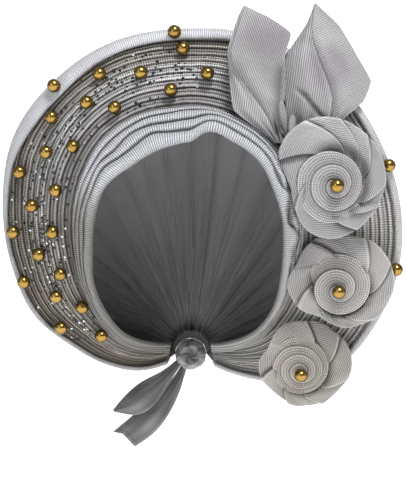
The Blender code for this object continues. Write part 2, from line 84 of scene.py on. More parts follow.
eye = bpy.data.cameras.new("camera")
eye.sensor_width = SENSOR
eye.lens = SENSOR * VIEW_DISTANCE / VIEW_HEIGHT
eye.clip_start = 0.01
camera = bpy.data.objects.new("camera", eye)
camera.location = (0.0095, -0.950, -0.0299)
camera.rotation_euler = (math.pi / 2, 0.0, 0.0)
bpy.context.scene.collection.objects.link(camera)
bpy.context.scene.camera = camera
print("lens:", round(eye.lens, 1), "mm")

# %% [markdown]
# ## The studio
#
# The wrap stands before plain white paper that curves up behind it, so no horizon shows. A large
# lamp above and a little to the right draws the folds, a weak one on the left fills the shadows,
# and one behind lights the drape. The sky behind the camera is darker, and the paper glows less
# in front, which is what gives the polished beads their dark hearts.

# %% Paper, lamps and sky
FLOOR_DROP = 0.012
PAPER_SIDE = 4.2
PAPER_BACK = 2.4
PAPER_BEND = 0.9
PAPER_WALL = 3.32
# Name, place, what it is aimed at, width, watts and colour
LAMPS = (
    ("key", (0.30, -1.05, 1.25), (0.0, 0.0, 0.0), 0.45, 23.5, (1.0, 0.995, 0.985)),
    ("fill", (-1.0, -1.4, 0.35), (0.0, 0.0, -0.03), 0.9, 3.5, (0.95, 0.97, 1.0)),
    ("back", (0.3, 1.2, 1.5), (0.0, 0.05, 0.0), 0.8, 5.0, (1.0, 1.0, 1.0)),
)


def link(piece):
    bpy.context.scene.collection.objects.link(piece)
    return piece


def paper():
    floor = cad_box[0][2] - FLOOR_DROP
    run = [(-3.6, 0.0), (-1.2, 0.0), (PAPER_BACK, 0.0)]
    for a in np.linspace(0.15, 1.5, 10):
        run.append((PAPER_BACK + PAPER_BEND * math.sin(a), PAPER_BEND - PAPER_BEND * math.cos(a)))
    run += [(PAPER_WALL, 1.4), (PAPER_WALL, 3.4)]
    points = [(x, y, floor + z) for x in (-PAPER_SIDE, PAPER_SIDE) for y, z in run]
    n = len(run)
    mesh = bpy.data.meshes.new("paper")
    mesh.from_pydata(points, [], [(i, n + i, n + i + 1, i + 1) for i in range(n - 1)])
    mesh.shade_smooth()
    return link(bpy.data.objects.new("paper", mesh))


def lamp(name, place_at, look_at, size, watts, colour):
    light = bpy.data.lights.new(name, "AREA")
    light.shape = "DISK"
    light.size = size
    light.energy = watts
    light.color = colour
    made = link(bpy.data.objects.new(name, light))
    made.location = place_at
    made.rotation_euler = (Vector(look_at) - Vector(place_at)).to_track_quat("-Z", "Y").to_euler()


backdrop = paper()
for row in LAMPS:
    lamp(*row)

sky = bpy.data.worlds.new("sky")
sky.use_nodes = True
bpy.context.scene.world = sky
bpy.context.scene.view_settings.view_transform = "Standard"
bpy.context.scene.view_settings.look = "None"

# %% [markdown]
# ## Node trees in few lines
#
# Materials and Geometry Nodes trees are both made of nodes and links. One small helper adds a
# node, sets its values and connects what feeds it, and a few more stand on it for the steps that
# every finish needs, so each tree below reads as a list of steps.


# %% Helpers for nodes
def node(tree, kind, inputs=(), **settings):
    """Adds a node. inputs holds (socket name or number, value or the socket that feeds it)."""
    made = tree.nodes.new(kind)
    for key, value in settings.items():
        setattr(made, key, value)
    for key, value in inputs:
        if isinstance(value, bpy.types.NodeSocket):
            tree.links.new(value, made.inputs[key])
        else:
            made.inputs[key].default_value = value
    return made


def maths(tree, operation, *values):
    return node(tree, "ShaderNodeMath", enumerate(values), operation=operation).outputs[0]


def remap(tree, value, *limits):
    """A value carried from one range to another: its low and high, then the new ones."""
    return node(tree, "ShaderNodeMapRange", enumerate((value, *limits))).outputs[0]


def split(tree, vector):
    return node(tree, "ShaderNodeSeparateXYZ", [(0, vector)]).outputs


def speckle(tree, at, scale, detail=2.0):
    inputs = [("Vector", at), ("Scale", scale), ("Detail", detail)]
    return node(tree, "ShaderNodeTexNoise", inputs).outputs[0]


def mix(tree, factor, first, second, **settings):
    inputs = [("Factor", factor), (6, first), (7, second)]
    return node(tree, "ShaderNodeMix", inputs, data_type="RGBA", **settings).outputs[2]


def scaled(tree, vector, factor):
    inputs = [(0, vector), ("Scale", factor)]
    return node(tree, "ShaderNodeVectorMath", inputs, operation="SCALE").outputs[0]


def bumped(tree, height, strength, distance):
    inputs = [("Height", height), ("Strength", strength), ("Distance", distance)]
    return node(tree, "ShaderNodeBump", inputs).outputs[0]


def new_finish(name, **fixed):
    """A material, its tree, its shader's inputs and the piece's own coordinates."""
    made = bpy.data.materials.new(name)
    made.use_nodes = True
    tree = made.node_tree
    shader = tree.nodes["Principled BSDF"].inputs
    for key, value in fixed.items():
        shader[key.replace("_", " ")].default_value = value
    return made, tree, shader, node(tree, "ShaderNodeTexCoord").outputs["Object"]


def feed(tree, shader, **sources):
    for key, source in sources.items():
        tree.links.new(source, shader[key.replace("_", " ")])


# %% Light from the sky, and the paper's finish
SKY_LIGHT = 0.36


def light_the_sky():
    tree = sky.node_tree
    tree.nodes.clear()
    way = split(tree, node(tree, "ShaderNodeTexCoord").outputs["Generated"])
    ahead = remap(tree, way["Y"], -1.0, -0.1, 0.12, 1.0)
    high = remap(tree, way["Z"], -0.2, 0.6, 0.0, 1.0)
    strength = maths(tree, "MULTIPLY", maths(tree, "MAXIMUM", ahead, high), SKY_LIGHT)
    inputs = [("Color", (0.93, 0.95, 1.0, 1.0)), ("Strength", strength)]
    glow = node(tree, "ShaderNodeBackground", inputs).outputs[0]
    node(tree, "ShaderNodeOutputWorld", [("Surface", glow)])


def paper_finish():
    white = {"Base_Color": (0.93, 0.93, 0.93, 1.0), "Emission_Color": (1.0, 1.0, 1.0, 1.0)}
    made, tree, shader, at = new_finish("white_paper", Roughness=0.9, **white)
    grain = bumped(tree, speckle(tree, at, 900.0), 0.04, 0.001)
    glow = remap(tree, split(tree, at)["Y"], -0.6, 0.0, 0.30, 0.75)
    feed(tree, shader, Normal=grain, Emission_Strength=glow)
    return made


light_the_sky()
backdrop.data.materials.append(paper_finish())
print("sky and paper are set")

# %% [markdown]
# ## Corded cloth
#
# The cloth is a stiff weave with a raised rib every millimetre or two and a silvery weft that
# catches the light. The ribs are read from the UV map, which holds metres of cloth: U runs along
# the folds and V across them, so the ribs bend with the cloth. A colour attribute called shade
# carries painted light and shade: the deeper tone in a fold's throat, brighter crests and edges,
# sides made lighter or darker as the lamp falls on them, and the places where the cloth is warmer
# or bluer.


# %% The cloth material
WEFT = 0.0007
BAND_RIB = 0.0016
RIB_WANDER = 0.0004
MAUVE = (0.36, 0.315, 0.33, 1.0)
# The one cloth, painted lighter for the band and painted darker for the pleated fan.
LIT_SILVER = (0.70, 0.705, 0.72)
SILVER = (0.56, 0.556, 0.562)
SHADED_SILVER = (0.36, 0.352, 0.345)


def cloth(name, colour, rib, depth, contrast, mauve, glint=0.2):
    """Corded cloth: its rib's pitch and height, how dark it is between ribs, and its mauve."""
    made, tree, shader, at = new_finish(name, Metallic=glint, Sheen_Weight=0.35, Sheen_Roughness=0.4)
    uv = split(tree, node(tree, "ShaderNodeUVMap", uv_map="cloth").outputs[0])
    shade = node(tree, "ShaderNodeVertexColor", layer_name="shade").outputs[0]

    wander = maths(tree, "SUBTRACT", speckle(tree, at, 90.0), 0.5)
    u = maths(tree, "MULTIPLY_ADD", wander, RIB_WANDER, uv["X"])
    half_turn = maths(tree, "SINE", maths(tree, "MULTIPLY", u, math.pi / rib))
    ribs = maths(tree, "POWER", maths(tree, "ABSOLUTE", half_turn), 0.8)
    weft_turn = maths(tree, "SINE", maths(tree, "MULTIPLY", uv["Y"], 2 * math.pi / WEFT))
    weft = maths(tree, "MULTIPLY_ADD", weft_turn, 0.5, 0.5)
    weave = maths(tree, "MULTIPLY_ADD", weft, 0.12, ribs)

    # Darker between the ribs: partly the weave's own colour, partly painted shade in the grooves.
    dark = [c * (1 - contrast) for c in colour]
    rib_colour_and_shade = mix(tree, ribs, (*dark, 1.0), (*colour, 1.0))
    warm = remap(tree, speckle(tree, at, 26.0, 3.0), 0.50, 0.66, 0.0, mauve)
    tinted = mix(tree, warm, rib_colour_and_shade, MAUVE)
    flecks = remap(tree, speckle(tree, at, 1400.0, 1.0), 0.3, 0.7, 0.90, 1.08)
    shaded = mix(tree, 1.0, scaled(tree, tinted, flecks), shade, blend_type="MULTIPLY")
    rough = remap(tree, weave, 0.0, 1.1, 0.70, 0.44)
    feed(tree, shader, Base_Color=shaded, Roughness=rough, Normal=bumped(tree, weave, 1.0, depth))
    return made


finishes = {
    "face_band": cloth("band_cloth", LIT_SILVER, BAND_RIB, 0.0004, 0.80, 0.10),
    "pleated_fan": cloth("fan_cloth", SHADED_SILVER, 0.0015, 0.0003, 0.72, 0.30),
    "back_drape": cloth("drape_cloth", SILVER, 0.0015, 0.0003, 0.55, 0.25),
    "rosettes": cloth("rosette_cloth", SILVER, 0.0014, 0.0003, 0.76, 0.25),
    "leaves": cloth("leaf_cloth", SILVER, 0.0015, 0.0003, 0.62, 0.45, 0.3),
    "tie": cloth("tie_cloth", SILVER, 0.0014, 0.0004, 0.76, 0.45),
}
print("cloth finishes:", len(finishes))

# %% [markdown]
# ## The lines of the wrap
#
# The model's source describes the wrap as cuts at clock angles: where the band's edge, its join
# with the fan and the fan's rim lie. The same short table is repeated here, so that the detailed
# cloth lies exactly where the plain solids do.

# %% The wrap's cuts
CLOTH = 0.0020
GAP = 0.0004
FACE_REACH = 0.066
CLOCK_CENTRE_Z = -0.024
FOREHEAD_Y = -0.078
NAPE_Y = 0.066
BAND_WIDTH = 0.024
BAND_DEPTH = 0.014
BAND_WALL = 0.0025
BAND_FOLD_HEIGHT = 0.0024
FAN_WIDTH = 0.057
FAN_DEPTH = 0.026
FAN_WALL = 0.0030
FAN_DISH = 0.0042
FAN_TUCK = 0.0030
PLEATS = 12
PLEAT_HEIGHT = 0.0022
RIM_ROLL = 0.0072
KNOT_RADIUS = 0.0125
KNOT_LENGTH = 0.036
KNOT_WAIST = 0.94
KNOT_ROOM = 0.0027
KNOT_BACK = 0.016
DRAPE_START = 0.012
DRAPE_FOLDS = 7
DRAPE_FOLD_HEIGHT = 0.0034
DEPTH_CURVE = 2.2

# Clock angle, then shares of FACE_REACH, BAND_WIDTH and FAN_WIDTH
SECTIONS = np.array((
    (-80, 1.28, 0.25, 0.20), (-70, 1.30, 0.27, 0.38), (-55, 1.30, 0.27, 0.71),
    (-40, 1.22, 0.23, 1.05), (-25, 1.10, 0.32, 1.21), (-8, 1.02, 0.45, 1.28),
    (10, 1.00, 0.49, 1.27), (28, 1.00, 0.61, 1.19), (45, 1.05, 0.55, 1.16),
    (65, 1.06, 0.61, 1.07), (80, 1.07, 0.64, 1.02), (88, 0.96, 0.95, 0.99),
    (95, 0.94, 0.98, 1.00), (112, 0.92, 1.08, 1.00), (130, 0.92, 1.08, 0.98),
    (150, 1.00, 0.70, 1.02), (170, 1.01, 0.59, 0.92), (190, 1.06, 0.47, 0.83),
    (208, 1.18, 0.30, 0.72), (222, 1.26, 0.29, 0.51), (236, 1.33, 0.30, 0.35),
    (250, 1.31, 0.27, 0.28), (260, 1.28, 0.25, 0.17),
))
# Share of the fan's width, then its height as a share of FAN_DISH
DISH = np.array(((0.0, 0.0), (0.18, -0.9), (0.5, 0.35), (0.8, -0.5), (1.0, 0.0)))
HALF_TURN = 180 - math.degrees(math.asin((KNOT_RADIUS + KNOT_ROOM) / (FACE_REACH * SECTIONS[0, 1])))
FRONT = np.array((0.0, -1.0, 0.0))
BACK = -FRONT


def smooth(table, at, column=1):
    """A column of a table read off a smooth curve through its rows, at many places at once."""
    xs, ys = table[:, 0], table[:, column]
    slopes = np.gradient(ys, xs)
    at = np.clip(np.asarray(at, float), xs[0], xs[-1])
    i = np.clip(np.searchsorted(xs, at, side="right") - 1, 0, len(xs) - 2)
    step = xs[i + 1] - xs[i]
    t = (at - xs[i]) / step
    start = (1 + 2 * t) * (1 - t) ** 2 * ys[i] + t * (1 - t) ** 2 * step * slopes[i]
    return start + t * t * (3 - 2 * t) * ys[i + 1] - t * t * (1 - t) * step * slopes[i + 1]


def unit(v):
    return v / np.maximum(np.linalg.norm(v, axis=-1, keepdims=True), 1e-12)


def place(clock, flat):
    """Points at clock angles, from their (reach, depth) pairs."""
    a = np.radians(clock)
    x = flat[..., 0] * np.cos(a)
    z = CLOCK_CENTRE_Z + flat[..., 0] * np.sin(a)
    return np.stack(np.broadcast_arrays(x, flat[..., 1], z), axis=-1)


def pair(first, second):
    """Two columns side by side: places in a plane, or a cloth map."""
    return np.stack(np.broadcast_arrays(first, second), axis=-1)


def square_to(along):
    return pair(along[..., 1], -along[..., 0])


def cut(clock):
    clock = np.asarray(clock, float)
    back = (np.abs(clock - 90) / HALF_TURN) ** DEPTH_CURVE
    edge_reach = smooth(SECTIONS, clock, 1) * FACE_REACH
    join_reach = edge_reach + smooth(SECTIONS, clock, 2) * BAND_WIDTH
    rim_reach = join_reach + smooth(SECTIONS, clock, 3) * FAN_WIDTH
    edge_y = FOREHEAD_Y + (NAPE_Y - FOREHEAD_Y) * back
    join_y = edge_y + BAND_DEPTH * (1 - 0.7 * back)
    rim_y = join_y + FAN_DEPTH * (1 - 0.9 * back)
    edge, join, rim = pair(edge_reach, edge_y), pair(join_reach, join_y), pair(rim_reach, rim_y)
    band_front = square_to(unit(join - edge))
    under_band = join - band_front * (BAND_WALL + GAP)
    fan_along = unit(rim - under_band)
    return SimpleNamespace(
        edge=edge, join=join, rim=rim, band_front=band_front, fan_along=fan_along,
        fan_front=square_to(fan_along), fan_start=under_band - fan_along * FAN_TUCK,
        fan_end=rim - fan_along * (CLOTH + GAP * 3),
    )


def fan_point(clock, across, above=0.0):
    c = cut(clock)
    across = np.asarray(across, float)
    rise = (smooth(DISH, across) * FAN_DISH + above)[..., None]
    flat = c.fan_start + (c.fan_end - c.fan_start) * across[..., None] + c.fan_front * rise
    return place(clock, flat)


def fan_normal(clock, across):
    round_it = fan_point(clock + 1.0, across) - fan_point(clock - 1.0, across)
    outer, inner = np.minimum(across + 0.1, 1.0), np.maximum(across - 0.1, 0.0)
    return unit(np.cross(fan_point(clock, outer) - fan_point(clock, inner), round_it))


def clocks(stations):
    return np.linspace(90 - HALF_TURN, 90 + HALF_TURN, stations + 1)


def knot_centre():
    end = cut(90 + HALF_TURN)
    low = place(90 + HALF_TURN, end.join)
    return np.array((0.0, end.rim[1] + KNOT_BACK, low[2] - KNOT_ROOM))


print("knot at", knot_centre().round(4), "half turn", round(HALF_TURN, 2))

# %% [markdown]
# ## Sheets with a wall
#
# Each cloth piece is a grid of points for its face and another for its back, joined all round
# into one closed shell. Helpers build the shell from numpy grids, turn its faces outward and
# write the cloth's UV map and its shade. Writing whole arrays at once keeps meshes of fifty
# thousand faces quick.


# %% A closed sheet from two grids
BACK_SHADE = 0.8


def ramp(low, high, x):
    t = np.clip((x - low) / (high - low), 0.0, 1.0)
    return t * t * (3 - 2 * t)


def noise(seed, *waves):
    """A few sine waves with fixed random phases, as a stand-in for a wandering hand."""
    rng = np.random.default_rng(seed)
    total = 0.0
    for wave in waves:
        total = total + np.sin(wave + rng.uniform(0, 2 * math.pi))
    return total / len(waves)


def through(at, points):
    """Values read off straight lines between (place, value) points."""
    return np.interp(at, *np.transpose(points))


def build(name, points, faces):
    """A smooth, linked mesh with all its faces turned outward."""
    mesh = bpy.data.meshes.new(name)
    mesh.from_pydata(np.asarray(points).tolist(), [], faces)
    shaped = bmesh.new()
    shaped.from_mesh(mesh)
    bmesh.ops.recalc_face_normals(shaped, faces=shaped.faces)
    shaped.to_mesh(mesh)
    shaped.free()
    mesh.shade_smooth()
    return link(bpy.data.objects.new(name, mesh))


def paint(piece, flats, shades, finish):
    """Writes a cloth map and a shade for every point, and gives the piece its finish."""
    mesh = piece.data
    corners = np.empty(len(mesh.loops), int)
    mesh.loops.foreach_get("vertex_index", corners)
    mesh.uv_layers.new(name="cloth").uv.foreach_set("vector", flats[corners].ravel())
    colours = np.concatenate((shades, np.ones((len(shades), 1))), axis=1)
    layer = mesh.color_attributes.new("shade", "FLOAT_COLOR", "POINT")
    layer.data.foreach_set("color", colours.ravel())
    mesh.materials.append(finish)
    return piece


def shell(name, grids, finish):
    """One mesh of closed shells. Each has a face and a back grid, a cloth map and a shade."""
    points, faces, flats, shades, start = [], [], [], [], 0
    for face, back, flat, shade in grids:
        n, m, k = face.shape[0], face.shape[1], back.shape[1]
        loop = m + k
        points.append(np.concatenate((face, back[:, ::-1]), axis=1).reshape(-1, 3))
        share = np.linspace(0, m - 1, k).round().astype(int)[::-1]
        flats.append(np.concatenate((flat, flat[:, share]), axis=1).reshape(-1, 2))
        shades.append(np.concatenate((shade, shade[:, share] * BACK_SHADE), axis=1).reshape(-1, 3))
        i, j = np.meshgrid(np.arange(n - 1), np.arange(loop), indexing="ij")
        here, ahead = i * loop + j, i * loop + (j + 1) % loop
        quads = np.stack((here, ahead, ahead + loop, here + loop), -1)
        faces += (quads.reshape(-1, 4) + start).tolist()
        faces += [[start + end + q for q in range(loop)] for end in (0, (n - 1) * loop)]
        start += n * loop
    piece = build(name, np.concatenate(points), faces)
    return paint(piece, np.concatenate(flats), np.concatenate(shades), finish)


def ring_faces(rings, sides):
    """The quads between rings of points, and the two ends."""
    faces = [tuple(end * sides + k for k in range(sides)) for end in (0, rings - 1)]
    starts = [i * sides for i in range(rings - 1)]
    steps = [(k, (k + 1) % sides) for k in range(sides)]
    quads = [(i + k, i + after, i + sides + after, i + sides + k) for i in starts for k, after in steps]
    return quads + faces


def grid_normals(grid, at, way):
    """Normals of a grid, on the side that looks the given way at one of its points."""
    normals = unit(np.cross(np.gradient(grid, axis=0), np.gradient(grid, axis=1)))
    return normals * math.copysign(1.0, normals[at] @ np.array(way))


def runs(grid, axis):
    """Lengths along a grid's lines, measured from their first points."""
    steps = np.linalg.norm(np.diff(grid, axis=axis), axis=-1)
    zero = np.zeros_like(np.take(steps, [0], axis=axis))
    return np.concatenate((zero, np.cumsum(steps, axis=axis)), axis=axis)


def grey(level, warm=0.0):
    """A shade from a level of grey, made warmer above zero and bluer below it."""
    level, warm = np.broadcast_arrays(np.asarray(level, float), np.asarray(warm, float))
    return np.stack((level * (1 + 0.05 * warm), level, level * (1 - 0.09 * warm)), axis=-1)


def triangles(piece):
    piece.data.calc_loop_triangles()
    return len(piece.data.loop_triangles)


def dress(piece, slot, *nodes):
    """Lets a finished piece ride on the wrap and stand for its plain solids."""
    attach(piece, "root")
    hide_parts(*nodes)
    print(piece.name, triangles(piece), "triangles")


# %% [markdown]
# ## The band round the face
#
# Four soft folds lie side by side, each lapping the one nearer the face, and over the left
# temple they cross like loose strands. The ribs are real relief here, because they are wide
# enough to see, and each fold counts its own length of cloth, so the ribs keep their pitch.

# %% The face band
BAND_STATIONS = 1700
FOLD_ROWS = 9
# Narrower folds than this stand lower, wider ones a little higher
FULL_FOLD = 0.0052
RIB_RELIEF = 0.00042
# Clock angle, then the share of the band's width at which the second to fourth fold start
SEAMS = np.array((
    (-80, 0.30, 0.55, 0.80), (-50, 0.34, 0.60, 0.80), (-32, 0.42, 0.60, 0.84),
    (-20, 0.34, 0.66, 0.82), (-8, 0.52, 0.66, 0.90), (0, 0.62, 0.78, 0.90),
    (7, 0.16, 0.60, 0.84), (13, 0.30, 0.52, 0.72), (20, 0.40, 0.72, 0.84),
    (27, 0.22, 0.52, 0.90), (35, 0.25, 0.50, 0.74), (45, 0.28, 0.62, 0.84),
    (58, 0.28, 0.66, 0.86), (75, 0.30, 0.66, 0.87), (84, 0.28, 0.60, 0.86), (92, 0.26, 0.58, 0.88),
    (100, 0.30, 0.58, 0.84), (110, 0.40, 0.62, 0.84), (120, 0.32, 0.64, 0.82),
    (132, 0.30, 0.54, 0.80), (142, 0.38, 0.60, 0.78), (154, 0.30, 0.52, 0.80),
    (168, 0.34, 0.60, 0.80), (180, 0.28, 0.56, 0.84), (195, 0.34, 0.60, 0.82),
    (220, 0.32, 0.56, 0.80), (260, 0.30, 0.55, 0.80),
))
# Share of a fold's width, then its rise and its painted shade: dark in the throat at each seam and
# brightest on the crest.
FOLD_ACROSS = np.array((0.0, 0.035, 0.09, 0.20, 0.38, 0.58, 0.78, 0.93, 1.0))
FOLD_RISE = np.array((0.0, 0.55, 0.86, 1.0, 0.95, 0.84, 0.68, 0.38, 0.0))
FOLD_SHADING = np.array((0.10, 0.42, 0.94, 1.08, 1.0, 0.98, 0.90, 0.52, 0.10))


def face_band():
    clock = clocks(BAND_STATIONS)[:, None]
    around = np.radians(clock)
    c = cut(clock)
    span = c.join - c.edge
    seams = [0 * clock, *(smooth(SEAMS, clock, k) for k in (1, 2, 3)), 0 * clock + 1]
    twisted = ramp(42, 30, clock) * ramp(-14, -2, clock)
    across, height, level, fold = [], [], [], []
    for k, (left, right) in enumerate(zip(seams, seams[1:])):
        keep = FOLD_ROWS if k == 3 else FOLD_ROWS - 1
        width = (right - left) * np.linalg.norm(span, axis=-1)
        full = np.clip(width / FULL_FOLD, 0.40, 1.2) * 1.35
        swell = 1 + 0.20 * noise(k, around * 7, around * 13)
        swell = swell + 0.7 * twisted * noise(k + 30, around * 15)
        tone = FOLD_SHADING.copy()
        # The fold by the face has nothing lapping its inner edge, so it gets no painted shade there.
        if k == 0:
            tone[:2] = (0.85, 0.95)
        across.append(left + (right - left) * FOLD_ACROSS[:keep])
        height.append(FOLD_RISE[:keep] * full * swell * BAND_FOLD_HEIGHT)
        level.append(tone[:keep] + 0 * width)
        fold += [k] * keep
    across, height, level = (np.concatenate(part, axis=1) for part in (across, height, level))
    flat = c.edge + span * across[..., None]
    base = place(clock, flat)
    lines = [runs(base[:, np.array(fold) == k].mean(axis=1), 0) + 0.0007 * k for k in range(4)]
    length = np.stack(lines, axis=1)[:, fold] + 0.0024 * (across - 0.5) * noise(9, around * 5)
    rib = np.abs(np.sin(math.pi * length / BAND_RIB)) ** 0.7
    height = height + (rib - 0.5) * RIB_RELIEF * np.clip(height / 0.001, 0.2, 1.0)
    face = place(clock, flat + c.band_front * height[..., None])
    back = place(clock, c.edge + span * np.linspace(0, 1, 5)[:, None] - c.band_front * BAND_WALL)
    # Painted shade: the band darker on the left and on the lower right, and warmer in its throats.
    side_shade = (1 - 0.56 * ramp(142, 176, clock)) * (1 - 0.24 * ramp(40, -5, clock))
    warm = 0.9 * ramp(30, -30, clock) + 1.3 * ramp(145, 180, clock) - 0.4
    shade = grey(level * side_shade, warm + 1.2 * (1 - level))
    where = pair(length, runs(base, 1))
    return shell("face_band_cloth", [(face, back, where, shade)], finishes["face_band"])


band = face_band()
dress(band, "face_band", "face_band")

# %% [markdown]
# ## The pleated fan, by a rule
#
# The fan is a strip laid in twelve knife pleats. A rule makes it, so Geometry Nodes do the
# folding: the strip comes in smooth, with attributes that say how far across and along it each
# point lies and which way it faces, and a curve in the tree gives every pleat its profile.

# %% A tree that folds pleats
FAN_STATIONS = 480
PLEAT_ROWS = 14
# Share of a pleat's width, then its height
PLEAT_PROFILE = (
    (0.05, 0.5), (0.13, 0.96), (0.30, 0.94), (0.50, 0.60), (0.57, 0.42), (0.64, 0.74), (0.86, 0.52),
)


def new_tree(name, sizes):
    """An empty Geometry Nodes tree with a geometry input and named sizes."""
    tree = bpy.data.node_groups.new(name, "GeometryNodeTree")
    tree.interface.new_socket("Geometry", in_out="INPUT", socket_type="NodeSocketGeometry")
    for key, (kind, value) in sizes.items():
        socket = tree.interface.new_socket(key, in_out="INPUT", socket_type=kind)
        if value is not None:
            socket.default_value = value
    tree.interface.new_socket("Geometry", in_out="OUTPUT", socket_type="NodeSocketGeometry")
    return tree, node(tree, "NodeGroupInput").outputs


def named(tree, name, kind="FLOAT"):
    return node(tree, "GeometryNodeInputNamedAttribute", [("Name", name)], data_type=kind).outputs[0]


def finish_tree(tree, geometry, finish):
    solid = node(tree, "GeometryNodeRealizeInstances", [("Geometry", geometry)]).outputs[0]
    painted = node(tree, "GeometryNodeSetMaterial", [("Geometry", solid), ("Material", finish)])
    node(tree, "NodeGroupOutput", [("Geometry", painted.outputs[0])])


def grow(piece, tree, **sizes):
    """Runs a tree on a piece and keeps the result as a plain mesh."""
    step = piece.modifiers.new(tree.name, "NODES")
    step.node_group = tree
    sockets = {s.name: s.identifier for s in tree.interface.items_tree if s.in_out == "INPUT"}
    for key, value in sizes.items():
        step[sockets[key.replace("_", " ")]] = value
    ready = piece.evaluated_get(bpy.context.evaluated_depsgraph_get())
    mesh = bpy.data.meshes.new_from_object(ready)
    piece.modifiers.remove(step)
    piece.data = mesh
    mesh.name = piece.name
    return piece


def line_noise(tree, at, scale, detail):
    """Noise along one line."""
    inputs = [("W", at), ("Scale", scale), ("Detail", detail)]
    return node(tree, "ShaderNodeTexNoise", inputs, noise_dimensions="1D").outputs[0]


def pleat_tree(finish):
    sizes = {
        "Pleats": ("NodeSocketInt", PLEATS),
        "Pleat Height": ("NodeSocketFloat", PLEAT_HEIGHT * 1.3),
        "Wander": ("NodeSocketFloat", 0.1),
        "Seed": ("NodeSocketInt", 4),
    }
    tree, given = new_tree("fold_pleats", sizes)
    across, along = named(tree, "across"), named(tree, "along")
    seeded = maths(tree, "MULTIPLY_ADD", given["Seed"], 10.0, maths(tree, "MULTIPLY", along, 28.0))
    shift = maths(tree, "SUBTRACT", line_noise(tree, seeded, 1.0, 1.0), 0.5)
    shift = maths(tree, "MULTIPLY", shift, given["Wander"])
    held = maths(tree, "SINE", maths(tree, "MULTIPLY", across, math.pi))
    phase = maths(tree, "MULTIPLY", across, given["Pleats"])
    phase = maths(tree, "ADD", phase, maths(tree, "MULTIPLY", shift, held))
    curve = node(tree, "ShaderNodeFloatCurve", [("Value", maths(tree, "FRACT", phase))])
    line = curve.mapping.curves[0]
    for k in (0, 1):
        line.points[k].location = (k, 0.0)
    for x, y in PLEAT_PROFILE:
        line.points.new(x, y)
    curve.mapping.update()
    number = maths(tree, "FLOOR", phase)
    own = maths(tree, "MULTIPLY_ADD", number, 7.3, maths(tree, "MULTIPLY", along, 16.0))
    high = maths(tree, "MULTIPLY_ADD", line_noise(tree, own, 5.0, 2.0), 0.7, 0.55)
    fold = maths(tree, "SUBTRACT", maths(tree, "MULTIPLY", curve.outputs[0], high), 1.0)
    lift = maths(tree, "MULTIPLY", fold, given["Pleat Height"])
    offset = scaled(tree, named(tree, "outward", "FLOAT_VECTOR"), lift)
    moved = node(tree, "GeometryNodeSetPosition", [("Geometry", given["Geometry"]), ("Offset", offset)])
    finish_tree(tree, moved.outputs[0], finish)
    return tree


def give(mesh, name, values, kind="FLOAT"):
    layer = mesh.attributes.new(name, kind, "POINT")
    values = np.asarray(values, np.float32)
    layer.data.foreach_set("vector" if kind == "FLOAT_VECTOR" else "value", values.ravel())


# Share of the fan's width, then its painted light and shade, darker in the recess by the band and
# under the rim and brightest in the middle, and how warm it is
FAN_SHADING = np.array((
    (0.0, 0.80, -0.3), (0.12, 0.80, -0.3), (0.26, 0.90, 0.0), (0.40, 1.20, -0.3),
    (0.58, 1.25, -0.3), (0.72, 0.88, 0.5), (0.86, 0.70, 1.0), (1.0, 0.62, 0.8),
))
# Share of a pleat's width, then its painted shade and highlight: near black in the grooves, brightest
# on the lip
PLEAT_SHADING = (
    (0.0, 0.04), (0.06, 0.40), (0.13, 1.85), (0.24, 1.65), (0.34, 1.16), (0.48, 0.98), (0.55, 0.16),
    (0.59, 0.30), (0.65, 1.50), (0.76, 1.15), (0.90, 0.78), (0.96, 0.30), (1.0, 0.04),
)


def pleated_fan():
    clock = clocks(FAN_STATIONS)[:, None]
    around = np.radians(clock)
    rows = PLEATS * PLEAT_ROWS
    across, under = np.linspace(0, 1, rows + 1)[None, :], np.linspace(0, 1, 9)[None, :]
    face = fan_point(clock, across)
    back = fan_point(clock, under, -PLEAT_HEIGHT - FAN_WALL)
    number = np.floor(across * PLEATS)
    uneven = 1 + 0.22 * np.sin(number * 2.4 + around * 3.0) * np.sin(number * 1.3 - around * 5)
    # Painted light and shade: on the right the fan is lighter with shallower throats; on the left it is
    # darker, with shallower throats by the band; it is warmer on the left and in the dark throats.
    right = ramp(55, 30, clock)
    by_band = ramp(148, 170, clock) * ramp(236, 214, clock) * ramp(0.30, 0.16, across)
    throat = through((across * PLEATS) % 1.0, PLEAT_SHADING) ** (1 - 0.40 * right - 0.60 * by_band)
    side = 1 - 0.24 * ramp(120, 160, clock) - 0.10 * by_band
    level = (smooth(FAN_SHADING, across, 1) * (1 - right) + 1.22 * right) * throat * side * uneven
    warm = smooth(FAN_SHADING, across, 2) * (1 - right) + 1.2 * ramp(140, 215, clock) + 0.2 * right
    shade = grey(level, warm + 1 - np.clip(throat, 0, 1))
    where = pair(runs(face.mean(axis=1), 0)[:, None], runs(face, 1))
    fan = shell("pleated_fan_cloth", [(face, back, where, shade)], finishes["pleated_fan"])
    outward = np.zeros((FAN_STATIONS + 1, face.shape[1] + back.shape[1], 3))
    outward[:, : rows + 1] = grid_normals(face, (FAN_STATIONS // 2, rows // 2), FRONT)
    give(fan.data, "outward", outward, "FLOAT_VECTOR")
    along = np.linspace(0, 1, FAN_STATIONS + 1)[:, None]
    for name, values in (("across", np.append(across, under[:, ::-1])), ("along", along)):
        give(fan.data, name, np.broadcast_to(values, outward.shape[:2]))
    return grow(fan, pleat_tree(finishes["pleated_fan"]), Pleats=PLEATS)


fan = pleated_fan()
dress(fan, "pleated_fan", "pleated_fan")

# %% [markdown]
# ## The rim and the back
#
# The outermost turn of cloth rolls over the fan's edge as a broad lip, painted lighter, and runs
# back over the crown in soft gathers that all meet in the knot at the nape. One grid makes it: each
# line of the grid starts on the rim, bends over it and follows a Bezier curve down to the knot.

